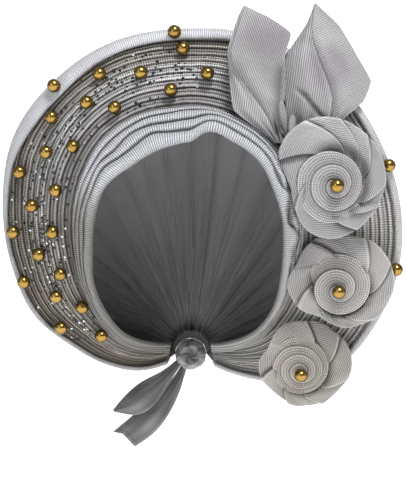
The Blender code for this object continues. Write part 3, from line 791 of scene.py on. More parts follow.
# %% The back drape
DRAPE_STATIONS = 480
LIP_ROWS = 14
CROWN_ROWS = 84
TUCKS = (0.035, 0.085, 0.15, 0.225)
TUCK_HEIGHT = 0.0019
GATHER_START = 0.0006
GATHER_GROWTH = 0.0009
FINE_GATHER = 0.0005
# Share of the lip from its free edge, then how far it lies along the fan and out of its face, as
# shares of RIM_ROLL and of CLOTH
LIP = np.array((
    (0.0, -1.0, 0.35), (0.12, -0.97, 1.0), (0.3, -0.78, 1.45), (0.5, -0.5, 1.6),
    (0.7, -0.2, 1.15), (0.86, -0.02, 0.2), (1.0, 0.0, -0.6),
))
# Clock angle, then how wide the lip is and its painted light: brightest at the top, darker low on
# both sides
LIP_WIDTH = np.array((
    (-80, 0.6, 0.72), (-40, 0.75, 0.78), (0, 0.85, 0.84), (40, 0.90, 0.94), (70, 1.15, 1.0),
    (95, 1.3, 1.0), (118, 1.55, 0.96), (136, 1.80, 0.90), (148, 1.5, 0.82), (158, 0.95, 0.72),
    (170, 0.62, 0.67), (200, 0.55, 0.61), (225, 0.5, 0.56), (260, 0.5, 0.56),
))
# Share of the lip from its free edge, then its painted shade, dark where the edge meets the fan
LIP_SHADING = ((0, 0.45), (0.08, 0.95), (0.3, 1.05), (1.0, 1.0))


def round_knot(share, radius):
    turn = math.pi * np.asarray(share)
    ring = np.stack((np.cos(turn), np.zeros_like(turn), np.sin(turn)), axis=-1)
    return knot_centre() + radius * ring


def back_drape():
    share = np.linspace(0, 1, DRAPE_STATIONS + 1)[:, None]
    clock = clocks(DRAPE_STATIONS)[:, None]
    c = cut(clock)
    s = np.linspace(0, 1, LIP_ROWS)
    wide = smooth(LIP, s, 1) * RIM_ROLL * smooth(LIP_WIDTH, clock)
    high = GAP + smooth(LIP, s, 2) * CLOTH
    lip = place(clock, c.rim + c.fan_along * wide[..., None] + c.fan_front * high[:, None])
    start = place(clock, c.rim - c.fan_front * CLOTH * 1.6)
    end = round_knot(share, KNOT_RADIUS * KNOT_WAIST + GAP + CLOTH)
    chord = start - end
    swell = BACK * (np.linalg.norm(chord, axis=-1, keepdims=True) + DRAPE_START)
    handles = (start, start + swell * 0.35, end + chord * 0.6 + swell * 0.52, end)
    u = np.linspace(0, 1, CROWN_ROWS) ** 1.3
    weights = ((1 - u) ** 3, 3 * u * (1 - u) ** 2, 3 * u * u * (1 - u), u**3)
    crown = sum(w[:, None] * h for w, h in zip(weights, handles))
    face = np.concatenate((lip, crown), axis=1)
    middle, up = (DRAPE_STATIONS // 2, -CROWN_ROWS // 2), (0, 0, 1)

    wave = np.cos(2 * math.pi * DRAPE_FOLDS * share) * np.sin(math.pi * share)
    wave = wave * np.sin(math.pi * u) ** 1.5
    drift = 0.35 * noise(17, share * 23 + u * 2.5, share * 11 - u * 2.0)
    sharp = 1 - 2 * np.abs(np.sin(math.pi * (26 * share + drift + 0.3 * u))) ** 0.7
    fine = 1 - 2 * np.abs(np.sin(math.pi * (61 * share - 2 * drift))) ** 0.8
    held = np.sin(math.pi * share) ** 0.5
    gathers = sharp * (GATHER_START + GATHER_GROWTH * ramp(0.10, 0.75, u))
    gathers = gathers + fine * FINE_GATHER * ramp(0.5, 0.9, u)
    gathers = -held * gathers * ramp(0.12, 0.30, u) * ramp(1.0, 0.94, u)
    # The seams factor holds a painted shade just under the edge of each tuck.
    tucks, seams = 0.0, 1.0
    for k, at in enumerate(TUCKS):
        at = at + 0.012 * noise(k + 50, share * 9, share * 21) * held
        tucks = tucks + TUCK_HEIGHT * ramp(at - 0.004, at + 0.004, u) * ramp(at + 0.075, at + 0.004, u)
        seams = seams * (1 - 0.55 * np.exp(-(((u - at + 0.003) / 0.005) ** 2)))
    folds = wave * DRAPE_FOLD_HEIGHT + gathers + tucks * held
    face[:, LIP_ROWS:] += grid_normals(face, middle, up)[:, LIP_ROWS:] * folds[..., None]
    back = (face - grid_normals(face, middle, up) * CLOTH * 0.9)[:, ::2]
    back[:, -1] = round_knot(share, KNOT_RADIUS * KNOT_WAIST + GAP)[:, 0]

    # Painted light and shade: the lip lighter, the crown darker towards the knot, dark in the gathers'
    # valleys, lighter on their crests and darker under each tuck.
    rows = np.append(np.zeros(LIP_ROWS), u)
    tone = np.append(np.full(LIP_ROWS, 1.18), 1.05 - 0.20 * u)
    creased = 1 - 0.30 * ramp(-0.0002, -0.0012, gathers) + 0.10 * ramp(0.0002, 0.0010, gathers)
    creased = creased * (1 + 0.12 * wave) * (1 - (1 - seams) * held)
    creased = creased * (1 + 0.07 * noise(61, share * 37 + u * 3, share * 19 - u * 5))
    valley = np.concatenate((through(s, LIP_SHADING) + 0 * share, creased), axis=1)
    warm = 0.8 * ramp(170, 215, clock) + 0.4 * ramp(50, 10, clock) - 0.4 + rows * 0.5
    shade = grey(tone * valley * smooth(LIP_WIDTH, clock, 2), warm)
    where = pair(runs(start, 0), runs(face, 1))
    return shell("back_drape_cloth", [(face, back, where, shade)], finishes["back_drape"])


drape = back_drape()
dress(drape, "back_drape", "back_drape")

# %% [markdown]
# ## Rosettes
#
# A strip of cloth is wound round itself from the middle, each turn lapping the one before like a
# shingle, and its last turn is folded over itself into petals that swirl like a pinwheel. Each
# rosette here is two closed shells: a ring of petals, and a wound heart lying on it. The outline
# of the petals follows a short list of reaches, so the three rosettes differ as they do in life.

# %% Rosettes in their own frame
ROSETTE_REACH = 0.036
ROSETTE_HEIGHT = 0.022
ROSETTE_FOOT = 0.012
HEART_STATIONS = 96
HEART_RISE = 0.0021
HEART_RIDGE = 0.0006
HEART_PIT = 0.0024
HEART_END = 0.0042
HEART_WALL = 0.0034
PETAL_STATIONS = 660
PETAL_ROWS = 30
PETAL_RIB = 0.0014
PETAL_RIB_RELIEF = 0.0002
PETAL_RISE = 0.0054
PETAL_SAG = 0.0018
PETAL_WAVE = 0.0006
BEAD_DIAMETER = 0.0095
MIDDLE_CLOCK = -17.4


# Spacing is the distance from the middle rosette in reaches, across a share of the fan, start and
# swirl are degrees, heart is the heart's share of the reach, and shift moves its outer turns. Tone
# is painted shade on the whole rosette, most on the bottom one. Each fold holds the angle where a
# petal begins, and how high it lies there and at its end.
FIELDS = "name spacing across start turns ridges heart swirl tone warm shift folds reaches".split()
ROSETTES = [SimpleNamespace(**dict(zip(FIELDS, row))) for row in (
    (
        "middle", 0.0, 0.475, 72, 2.3, 7, 0.74, 44, 0.93, 0.2, (0.0004, 0.0014),
        ((-43, 1, 0), (24, 1, 0), (60, 1, 0), (121, 1, 0.5), (156, 0, 0.2), (205, 1, 0), (275, 1, 0)),
        (1.12, 1.13, 1.10, 1.00, 1.04, 0.93, 0.97, 0.84, 0.68, 0.78, 0.90, 1.02),
    ),
    (
        "top", 2.12, 0.40, 36, 2.9, 6, 0.77, 48, 0.92, -0.3, (-0.0034, -0.0002),
        (
            (-63, 1, 0.1), (-29, 1, 0), (-2, 1, 0), (55, 1, 0), (84, 1, 0), (114, 1, 0.8),
            (157, 0, 0.3), (210, 1, 0),
        ),
        (0.98, 1.04, 1.12, 1.24, 1.30, 1.20, 0.84, 0.86, 1.00, 1.05, 0.97, 0.94),
    ),
    (
        "bottom", -2.02, 0.74, 216, 3.9, 4, 0.68, 34, 0.87, 0.8, (-0.0030, 0.0034),
        ((-14, 1, 0), (43, 1, 0), (85, 1, 0.3), (140, 0.2, 0), (196, 1, 0), (250, 1, 0), (300, 1, 0)),
        (1.01, 1.04, 1.02, 1.02, 0.95, 0.80, 0.88, 0.80, 0.78, 0.84, 0.86, 0.90),
    ),
)]
# Share of a turn's width, then its slope and its painted light and shade: dark where it tucks under
# the turn inside and brightest on its rounded edge
HEART_SLOPE = (
    (0, -1.0), (0.08, -0.66), (0.3, -0.36), (0.7, -0.06), (0.9, 0.0), (0.97, -0.15), (1.0, -0.6),
)
HEART_SHADING = (
    (0, 0.10), (0.05, 0.34), (0.16, 0.82), (0.5, 0.95), (0.86, 1.12), (0.95, 1.25), (1.0, 0.45),
)


def petal_reach(reaches, turn):
    reaches = np.asarray(reaches)
    count = len(reaches)
    at = (np.asarray(turn) % 1.0) * count
    i = at.astype(int)
    t = at - i
    before, here, ahead, after = (reaches[(i + k) % count] for k in (-1, 0, 1, 2))
    bend = 2 * before - 5 * here + 4 * ahead - after
    twist = 3 * (here - ahead) + after - before
    return here + 0.5 * t * (ahead - before + t * (bend + t * twist))


def dome(radius):
    return ROSETTE_HEIGHT * (1 - 0.35 * np.clip(radius / ROSETTE_REACH, 0, 1.1) ** 2)


def heart_radius(row, turn, share):
    """The heart's outer edge after some share of its winding."""
    full = ROSETTE_REACH * row.heart
    oval = 1 + (petal_reach(row.reaches, turn) - 1) * 0.25 * share**2
    return full * np.clip(share, 0, 1) ** 0.78 * oval


def heart(row):
    """The wound strip: its top slopes up to a rounded edge and tucks under the turn inside."""
    k = np.linspace(0.04, 1.0, int(HEART_STATIONS * row.turns * 2.2))[:, None]
    turn = row.start / 360 + k * row.turns
    outer = heart_radius(row, turn, k)
    inner = heart_radius(row, turn, k - 1 / row.turns) * (k > 1 / row.turns)
    end = ramp(1.0, 0.93, k)
    outer = inner + (outer - inner) * (0.30 + 0.70 * end)
    tuck = np.minimum(0.0012, inner * 0.3)
    across = np.linspace(0, 1, 5 * row.ridges + 1)
    radius = inner - tuck + (outer - inner + tuck) * across
    ridge = np.abs(np.sin(math.pi * row.ridges * across)) ** 0.7
    lean = np.clip((outer - inner) / 0.006, 0.35, 1.0)
    height = dome(radius) - 0.0004 + through(across, HEART_SLOPE) * HEART_RISE * lean
    height += (ridge - 0.5) * HEART_RIDGE - HEART_END * (1 - end)
    height -= HEART_PIT * np.clip(1 - radius / 0.0055, 0, 1) ** 0.6
    a = 2 * math.pi * turn
    slid = (radius / (ROSETTE_REACH * row.heart)) ** 2
    x, y = radius * np.cos(a) + slid * row.shift[0], radius * np.sin(a) + slid * row.shift[1]
    face = np.stack((x, y, height), axis=-1)
    back = face[:, (0, -1)] - (0, 0, HEART_WALL)
    # Painted shade between the ridges, warmer where it is darker.
    level = through(across, HEART_SHADING) * (0.50 + 0.56 * ridge) + 0 * radius
    where = pair(runs(pair(outer * np.cos(a), outer * np.sin(a)), 0) * 0.95, radius - inner)
    return face, back, where, grey(level * row.tone * 1.03, row.warm + 0.4 + 0.6 * (1 - level))


def seed_of(row):
    return sum(ord(letter) for letter in row.name)


def swirl_ring(row):
    """The petals: lines that swirl from the heart to the outline, with a step at each fold."""
    alpha = np.linspace(0, 1, PETAL_STATIONS + 1)[:, None]
    out = np.linspace(0, 1, PETAL_ROWS)
    outline = ROSETTE_REACH * petal_reach(row.reaches, alpha)
    folds = np.array(sorted((begin % 360, first, last) for begin, first, last in row.folds))
    starts = folds[:, 0] / 360
    which = (np.searchsorted(starts, alpha, side="right") - 1) % len(folds)
    begin, span = starts[which], (np.roll(starts, -1)[which] - starts[which]) % 1.0
    share = ((alpha - begin) % 1.0) / span
    first, last = folds[which, 1], folds[which, 2]
    under_next = np.clip(np.roll(folds[:, 1], -1)[which] - last, 0, 1)
    under_last = np.clip(np.roll(folds[:, 2], 1)[which] - first, 0, 1)
    lift = first + (last - first) * share**0.8
    lift = lift * (0.75 + 0.25 * ramp(0.0, 0.10, share))
    inner = ROSETTE_REACH * row.heart * (1 + (petal_reach(row.reaches, alpha) - 1) * 0.45) * 0.62
    radius = inner + (outline - inner) * out
    angle = 2 * math.pi * alpha - math.radians(row.swirl) * (1 - out) ** 1.2
    height = dome(radius) - 0.0028 - 0.0024 * ramp(0.32, 0.05, out)
    height += PETAL_RISE * lift * np.sin(math.pi * (0.12 + 0.70 * out)) ** 0.8 * ramp(0.0, 0.35, out)
    height -= PETAL_SAG * np.sin(math.pi * share) ** 2 * out**2
    height += PETAL_WAVE * noise(seed_of(row), alpha * 40 + out * 3, alpha * 63 - out * 4)
    height -= 0.0008 * ramp(0.95, 1.0, out)
    top = np.stack((radius * np.cos(angle), radius * np.sin(angle), height), axis=-1)
    middle = (begin + span / 2) * 2 * math.pi + 0.30
    bend = 0.35 * (share - 0.5) * out
    ribs = top[..., 0] * np.cos(middle + bend) + top[..., 1] * np.sin(middle + bend)
    rest = top[..., 1] * np.cos(middle) - top[..., 0] * np.sin(middle)
    rib = np.abs(np.sin(math.pi * ribs / PETAL_RIB)) ** 0.8
    top[..., 2] += (rib - 0.5) * PETAL_RIB_RELIEF
    rim = top[:, -1:]
    under = rim * (0.975, 0.975, 1.0) - (0, 0, 0.0018)
    low = np.concatenate((unit(rim[..., :2]) * ROSETTE_FOOT, np.zeros_like(rim[..., :1])), axis=-1)
    mid = low * 0.45 + under * 0.55 - (0, 0, 0.0015)
    inner_edge = top[:, :1] * (1.0, 1.0, 0.0) + (0, 0, ROSETTE_HEIGHT * 0.55)
    face = np.concatenate((inner_edge * (0.0, 0.0, 1.0), inner_edge, top), axis=1)
    back = np.concatenate((low * (0.0, 0.0, 1.0), low, mid, under), axis=1)
    # Painted light and shade: a bright edge where a petal laps the one before, a painted shadow where a
    # higher petal laps it, darker towards the heart, a bright outer edge, lower petals darker than upper
    # ones, and warmer where it is darker.
    edge_light = 1 + 0.34 * (1 - under_last) * ramp(0.01, 0.03, share) * ramp(0.10, 0.05, share)
    dark = 1 - 0.80 * under_next * ramp(0.86, 1.0, share)
    dark = dark * (1 - 0.80 * under_last * ramp(0.16, 0.0, share))
    dark = dark * edge_light * (1 - 0.14 * share)
    level = dark * (0.50 + 0.50 * ramp(0.22, 0.50, out)) * (1 + 0.34 * ramp(0.92, 0.98, out))
    level = level * (0.93 + 0.10 * np.sin(2 * math.pi * alpha))
    level = np.concatenate((level[:, :1], level[:, :1], level), axis=1)
    where = pair(ribs, rest)
    where = np.concatenate((where[:, :1], where[:, :1], where), axis=1)
    return face, back, where, grey(level * row.tone, row.warm + 0.2 + 0.5 * (1 - np.clip(level, 0, 1)))


def rosette_clock(row):
    """The clock angle at which a rosette stands its spacing away from the middle one."""
    home = fan_point(MIDDLE_CLOCK, ROSETTES[0].across)
    near, far = 0.0, 90.0
    for _ in range(30):
        step = (near + far) / 2
        at = fan_point(MIDDLE_CLOCK + math.copysign(step, row.spacing), row.across)
        if np.linalg.norm(at - home) < abs(row.spacing) * ROSETTE_REACH:
            near = step
        else:
            far = step
    return MIDDLE_CLOCK + math.copysign(near, row.spacing)


def corners_of(name):
    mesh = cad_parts[name].data
    found = np.empty(len(mesh.vertices) * 3, np.float32)
    mesh.vertices.foreach_get("co", found)
    return found.reshape(-1, 3).astype(float)


def rosette(row):
    clock = rosette_clock(row) if row.spacing else MIDDLE_CLOCK
    z = unit(fan_normal(clock, row.across) + FRONT)
    x = unit(np.array((1.0, 0.0, 0.0)) - z * z[0])
    turn = np.array((x, np.cross(z, x), z))
    at = fan_point(clock, row.across)
    at = at + z * ((corners_of(f"rosette_{row.name}") @ z).min() - at @ z)
    grids = [(f @ turn + at, b @ turn + at, w, s) for f, b, w, s in (swirl_ring(row), heart(row))]
    return shell(f"rosette_{row.name}_cloth", grids, finishes["rosettes"])


for row in ROSETTES:
    made = rosette(row)
    dress(made, f"rosette_{row.name}", f"rosette_{row.name}")

# %% [markdown]
# ## The two leaves
#
# Two ends of the cloth stand up like pointed leaves, pinched at the root. Each is a folded sheet:
# a table gives its outline and its main crease at several heights, and finer creases are pressed
# in along lines drawn in the plane that faces the viewer. The cloth lies on the bias here, so
# its ribs run slanting.

# %% Leaves
LEAF_LENGTH = 0.095
LEAF_WIDTH = 0.047
LEAF_WALL = 0.0016
LEAF_LEAN = 0.008
LEAF_TURN = 0.2
LEAF_WAVE = 0.0016
LEAF_GATHER = 0.0012
# Height, left side, crease, right side and forward, as shares of the leaf's size
LEFT_LEAF = np.array((
    (0.00, -0.16, -0.10, -0.04, 0.03), (0.09, -0.40, -0.18, -0.08, 0.05),
    (0.22, -0.74, -0.34, -0.08, 0.08), (0.38, -0.80, -0.58, -0.06, 0.09),
    (0.52, -0.82, -0.74, -0.06, 0.07), (0.64, -0.84, -0.74, -0.06, 0.06),
    (0.79, -0.76, -0.60, 0.02, 0.05), (0.90, -0.68, -0.56, -0.28, 0.03),
    (0.97, -0.61, -0.59, -0.57, 0.01),
))
RIGHT_LEAF = np.array((
    (0.06, 0.08, 0.20, 0.28, 0.03), (0.15, 0.04, 0.56, 0.72, 0.10),
    (0.31, 0.02, 0.62, 1.10, 0.14), (0.46, 0.01, 0.54, 1.22, 0.13),
    (0.64, 0.02, 0.40, 1.02, 0.10), (0.76, 0.14, 0.34, 0.88, 0.07),
    (0.87, 0.28, 0.36, 0.74, 0.04), (1.02, 0.40, 0.41, 0.42, 0.01),
))
# Across the leaf from its left side by way of its crease, then how far forward it swells
SWELLS = ((0.0, 0.0), (0.5, 0.6), (1.0, 1.0), (1.5, 0.55), (2.0, 0.0))


def to_line(points, line):
    """Distance in the XZ plane from each point to a run of (x, z) places."""
    flat = points[..., (0, 2)]
    best = np.full(flat.shape[:-1], 9.0)
    for a, b in zip(np.array(line[:-1]), np.array(line[1:])):
        t = np.clip(((flat - a) @ (b - a)) / ((b - a) @ (b - a)), 0, 1)
        best = np.minimum(best, np.linalg.norm(flat - a - t[..., None] * (b - a), axis=-1))
    return best


def leaf(name, rows, slants, step, step_top, reach, shift, tones, creases, tints, extra=()):
    """A folded leaf. Creases are lines pressed in, tints are mauve places (x, z, width)."""
    root = fan_point(43.0, 0.19)
    tall = np.linspace(rows[0, 0], rows[-1, 0], 150)[:, None]
    side = np.linspace(0, 2, 91)[None, :]
    left, fold, right = (
        0.4 * smooth(rows, tall, k) + 0.6 * np.interp(tall, rows[:, 0], rows[:, k]) for k in (1, 2, 3)
    )
    left = left - reach[0] * ramp(rows[0, 0], rows[0, 0] + 0.2, tall) * ramp(0.80, 0.55, tall)
    right = right + reach[1] * ramp(0.15, 0.35, tall) * ramp(0.98, 0.80, tall)
    fold = fold + (left + 0.03 - fold) * reach[2] * ramp(0.42, 0.58, tall)
    forward = smooth(rows, tall, 4)
    x = np.where(side <= 1, left + (fold - left) * side, fold + (right - fold) * (side - 1))
    x = x * LEAF_WIDTH
    y = LEAF_LEAN * tall + x * LEAF_TURN - forward * through(side, SWELLS) * LEAF_LENGTH
    z = tall * LEAF_LENGTH + 0 * x
    plain = root + np.stack((x, y, z), axis=-1)
    settled = corners_of(name)[:, 1].max() - plain[..., 1].max()
    plain = plain + BACK * settled + shift
    free = ramp(step_top, step_top - 0.14, tall)
    drop = step * free * (ramp(1.0, 1.05, side) * ramp(1.55, 1.05, side))
    waves = LEAF_WAVE * noise(5, side * 5 + tall * 4, side * 9 - tall * 3) * np.sin(math.pi * side / 2)
    gather = LEAF_GATHER * np.cos(side * math.pi * 5) * ramp(0.30, 0.02, tall - rows[0, 0])
    y_move = drop - waves * free - gather
    shadow = ramp(1.0, 1.03, side) * ramp(1.34, 1.03, side) * free
    edge_light = ramp(0.90, 0.96, side) * ramp(1.01, 0.985, side) * free
    level = 1 - 0.42 * shadow + 0.28 * edge_light
    # Each crease is pressed in and painted darker, or painted lighter where its darkness is below zero.
    for line, width, deep, dark in creases:
        near = np.clip(1 - to_line(plain, line) / width, 0, 1)
        begun = np.hypot(plain[..., 0] - line[0][0], plain[..., 2] - line[0][1])
        near = near * ramp(-0.002, 0.013, begun)
        y_move = y_move + deep * near**1.5
        level = level * (1 - dark * near**1.6)
    # Painted light and shade: the leaf's outer edges lighter, its root darker.
    rim = np.minimum(side, 2 - side)
    level = level * (1 + 0.16 * ramp(0.05, 0.0, rim))
    level = level * (1 - 0.22 * ramp(0.25, 0.0, tall - rows[0, 0]))
    mauve = np.zeros_like(level)
    for at_x, at_z, wide in tints:
        mauve += ramp(wide, wide * 0.5, np.hypot(plain[..., 0] - at_x, plain[..., 2] - at_z))
    face = plain + FRONT * LEAF_WALL + BACK * y_move[..., None]
    back = plain + BACK * (y_move + 0.0001)[..., None]
    turned = np.where(side > 1, slants[1], slants[0])
    ribs = face[..., 0] * np.cos(turned) + face[..., 2] * np.sin(turned)
    where = pair(ribs, face[..., 2])
    # Painted light and shade: each side of the fold gets its own brightness.
    level = level * np.where(side > 1, tones[1], tones[0])
    shade = grey(level, -0.1) * (1 - mauve[..., None] * (0.12, 0.19, 0.15))
    return shell(f"{name}_cloth", [(face, back, where, shade), *extra], finishes["leaves"])


def tuft(x, z, wide, tall, lean, front):
    """A pinched fold of cloth at the root of the leaves."""
    up = np.linspace(0.02, 1, 34)[:, None]
    side = np.linspace(-1, 1, 23)[None, :]
    spread = wide * np.sin(up * 2.4) ** 0.8
    across = side * spread / 2 + lean * up
    bulge = (1 - side**2) * wide * 0.40 * np.sin(up * math.pi) ** 0.5
    top = tall * (up - 0.12 * side**2 * up)
    face = np.stack((x + across, front - bulge, z + top), axis=-1)
    back = face + BACK * 0.0016
    where = pair(face[..., 0] * 0.8 + face[..., 2] * 0.6, face[..., 2])
    # Painted shade: darker at the pinched root, at the sides and down the middle.
    off = np.abs(side)
    level = (0.35 + 0.5 * ramp(0.0, 0.6, up)) * (1 - 0.6 * off**3) * (1 - 0.4 * ramp(0.25, 0.0, off))
    return face, back, where, grey(level, 0.0)


leaf_left = leaf(
    "leaf_left", LEFT_LEAF, (-0.15, 0.35), 0.0022, 0.62, (0.0, 0.055, 0.9), (0.0, 0.0, 0.0010),
    (0.85, 0.75),
    [
        ([(0.0630, 0.098), (0.0610, 0.075), (0.0595, 0.055), (0.0590, 0.045)], 0.0065, 0.0020, 0.50),
        ([(0.0550, 0.061), (0.0580, 0.052), (0.0595, 0.046)], 0.0050, 0.0020, 0.55),
        ([(0.0440, 0.077), (0.0520, 0.0705), (0.0600, 0.0670)], 0.0085, -0.0014, -0.26),
    ],
    [(0.052, 0.110, 0.020)],
    [
        tuft(0.0655, 0.0420, 0.0065, 0.026, -0.004, -0.0610),
        tuft(0.0685, 0.0400, 0.0060, 0.017, 0.001, -0.0620),
    ],
)
dress(leaf_left, "leaf_left", "leaf_left")
leaf_right = leaf(
    "leaf_right", RIGHT_LEAF, (-0.15, -1.05), 0.0026, 0.84, (0.06, 0.015, 0.0), (0.0022, 0.0, 0.0018),
    (0.76, 0.87),
    [
        ([(0.0690, 0.0778), (0.0789, 0.0700), (0.0909, 0.0546)], 0.0032, 0.0028, 0.70),
        ([(0.0630, 0.100), (0.0625, 0.060)], 0.0040, 0.0006, 0.40),
        ([(0.0870, 0.118), (0.0990, 0.112)], 0.0140, -0.0006, -0.14),
    ],
    [(0.094, 0.090, 0.020), (0.066, 0.104, 0.010)],
)
dress(leaf_right, "leaf_right", "leaf_right")

# %% [markdown]
# ## The knot and its two ends
#
# Behind the neck the ends of the wrap are tied in one tight knot. It is turned cloth, so its
# folds wind round it as they go back, and the two ends hang from it with their own slow twist.

# %% Knot and tails
KNOT_HOLLOW = 0.0030
KNOT_GROOVE = 0.0014
TAIL_LENGTH = 0.062
TAIL_WIDTH = 0.026
TAIL_WALL = 0.0016
TAIL_TUCK = 0.0024
HEM = 0.0004
KNOT_PROFILE = (
    (0.0, 0.62), (0.1, 0.92), (0.3, 1.0), (0.5, KNOT_WAIST), (0.7, 1.0), (0.9, 0.9), (1.0, 0.58),
)
# Along, out, down, forward, half width and twist, as shares of the tail and degrees
UPPER_TAIL = np.array((
    (0.0, 0.00, 0.00, 0.00, 0.28, -80), (0.25, 0.17, 0.18, 0.03, 0.34, -60),
    (0.5, 0.38, 0.37, 0.08, 0.42, -30), (0.75, 0.59, 0.53, 0.10, 0.34, -10),
    (1.0, 0.80, 0.60, 0.10, 0.05, 0),
))
LOWER_TAIL = np.array((
    (0.0, 0.00, 0.00, 0.00, 0.28, -80), (0.25, 0.12, 0.24, -0.03, 0.34, -60),
    (0.5, 0.30, 0.49, -0.06, 0.38, -35), (0.75, 0.51, 0.71, -0.06, 0.42, -10),
    (1.0, 0.72, 0.87, -0.05, 0.40, 5),
))


def nape_knot():
    """A barrel of rings of wound cloth, whose ends close in folds."""
    turn = np.linspace(0, 2 * math.pi, 181)[None, :]
    closing = np.linspace(0.03, 1, 11)[:-1]
    along = np.concatenate((np.zeros(10), np.linspace(0, 1, 70), np.ones(10)))[:, None]
    inward = np.concatenate((closing, np.ones(70), closing[::-1]))[:, None]
    winding = 2.5 * turn + along * 5.0 + 3.0 * (1 - inward) ** 1.5
    wound = 1 - 0.10 * np.abs(np.sin(winding)) ** 4 - 0.03 * np.abs(np.sin(8 * turn - along * 9))
    radius = KNOT_RADIUS * through(along, KNOT_PROFILE) * wound * inward
    spot = knot_centre()
    groove = np.abs(np.sin(winding)) ** 3 * np.sin(math.pi * inward)
    sunk = KNOT_HOLLOW * (1 - inward) + KNOT_GROOVE * groove
    y = spot[1] + KNOT_LENGTH * (along - 0.5) + sunk * np.where(along < 0.5, 1, -1)
    ring = np.stack((spot[0] + radius * np.cos(turn), y, spot[2] + radius * np.sin(turn)), axis=-1)
    # Painted shade: darker in the winding grooves and towards the closed ends, made warmer.
    dark = (1 - 0.5 * np.abs(np.sin(winding)) ** 6) * (0.45 + 0.55 * inward)
    where = pair(turn * KNOT_RADIUS, along * KNOT_LENGTH)
    shade = grey(dark * 0.8, 0.3)
    points = ring[:, :-1].reshape(-1, 3)
    piece = build("nape_knot_cloth", points, ring_faces(len(ring), ring.shape[1] - 1))
    return paint(piece, where[:, :-1].reshape(-1, 2), shade[:, :-1].reshape(-1, 3), finishes["tie"])


knot = nape_knot()
dress(knot, "nape_knot", "nape_knot")


def tail(name, rows, angle, corners=(0.0, 0.0, 0.0)):
    """A hemmed end of cloth. Corners: how far it runs on at one side, inside and at the other."""
    a = math.radians(angle)
    outward = np.array((math.cos(a), 0.0, math.sin(a)))
    root = knot_centre() + outward * (KNOT_RADIUS + GAP)
    run = unit(np.array((-rows[-1, 1], 0.0, -rows[-1, 2])))
    level = np.cross(run, BACK)
    along = np.linspace(0, 1, 90)[:, None]
    side = np.linspace(-1, 1, 61)[None, :]
    out, down, forward, half, twist = (smooth(rows, along, k)[..., None] for k in (1, 2, 3, 4, 5))
    centre = root + np.concatenate((-out, -forward, -down), axis=-1) * TAIL_LENGTH
    turn = np.radians(twist)
    across = np.cos(turn) * level + np.sin(turn) * BACK
    square = np.cross(run, across)
    ripple = np.sin(side * 2.6 + along * 2.0) * TAIL_WIDTH * 0.07 * along
    ripple = ripple + 0.0006 * np.sin(side * 9 + along * 3) * (1 - 0.5 * along)
    middle = centre + across * (side * TAIL_WIDTH)[..., None] * half + square * ripple[..., None]
    middle = middle + outward * ((corners_of(name) @ outward).min() - (middle @ outward).min())
    middle = middle - outward * (TAIL_TUCK * (1 - along) ** 4)[..., None]
    drawn = np.interp(side, (-1.0, -0.35, 1.0), corners) * along**4
    middle = middle + run * (drawn * TAIL_LENGTH)[..., None]
    hem = np.maximum(ramp(0.80, 0.86, np.abs(side)), ramp(0.945, 0.965, along))
    thick = square * (TAIL_WALL / 2 + HEM * hem)[..., None]
    where = pair(runs(middle, 0), runs(middle, 1))
    # Painted shade: darker bands along the folds and along the turn of the hem.
    dark = 0.52 - 0.20 * np.abs(np.sin(side * 4.5 + along * 2)) ** 3
    dark = dark * (1 - 0.45 * 4 * hem * (1 - hem))
    dark = dark * (1 + 0.25 * noise(71, along * 17 + side, along * 9 - side * 3))
    grids = [(middle + thick, middle - thick, where, grey(dark))]
    return shell(f"{name}_cloth", grids, finishes["tie"])


tail_upper = tail("tail_upper", UPPER_TAIL, 215)
dress(tail_upper, "tail_upper", "tail_upper")
tail_lower = tail("tail_lower", LOWER_TAIL, 243, (0.062, 0.0, 0.042))
dress(tail_lower, "tail_lower", "tail_lower")

# %% [markdown]
# ## Gold beads
#
# Round plated beads are sewn all over the fan, by threads that don't show. One bead is turned on
# a lathe profile, and a tree sets a copy on every place that the model gives, with the hole along
# the pleat.


# %% The bead and its finish
def gold():
    made, tree, shader, at = new_finish("bead_gold", Metallic=1.0)
    cloud = speckle(tree, at, 160.0, 3.0)
    colour = mix(tree, cloud, (0.27, 0.155, 0.03, 1.0), (0.55, 0.36, 0.10, 1.0))
    # Painted reflection: the gold grows darker towards the bead's outline, by the way each point faces
    # the camera.
    turned = node(tree, "ShaderNodeLayerWeight", [("Blend", 0.5)]).outputs["Facing"]
    painted_dark_rim = scaled(tree, colour, remap(tree, turned, 0.18, 0.72, 1.0, 0.16))
    scuffs = speckle(tree, at, 2400.0)
    rough = remap(tree, scuffs, 0.35, 0.75, 0.16, 0.32)
    feed(tree, shader, Base_Color=painted_dark_rim, Roughness=rough, Normal=bumped(tree, scuffs, 0.15, 0.00003))
    return made


gold_finish = gold()


def lathe_bead():
    """A bead round the X axis, with a rolled edge and a pit at each end of its hole."""
    radius, hole, sides = BEAD_DIAMETER / 2, 0.0008, 28
    start = math.asin(hole * 1.5 / radius)
    pit = [(radius * 0.80, 0.00002), (radius * 0.80, hole * 0.9), (radius * 0.97, hole)]
    profile = [(-x, r) for x, r in pit]
    for t in np.linspace(start, math.pi - start, 17):
        profile.append((-radius * math.cos(t), radius * math.sin(t)))
    profile += pit[::-1]
    points = [
        (x, r * math.cos(2 * math.pi * k / sides), r * math.sin(2 * math.pi * k / sides))
        for x, r in profile for k in range(sides)
    ]
    return build("one_bead", points, ring_faces(len(profile), sides))


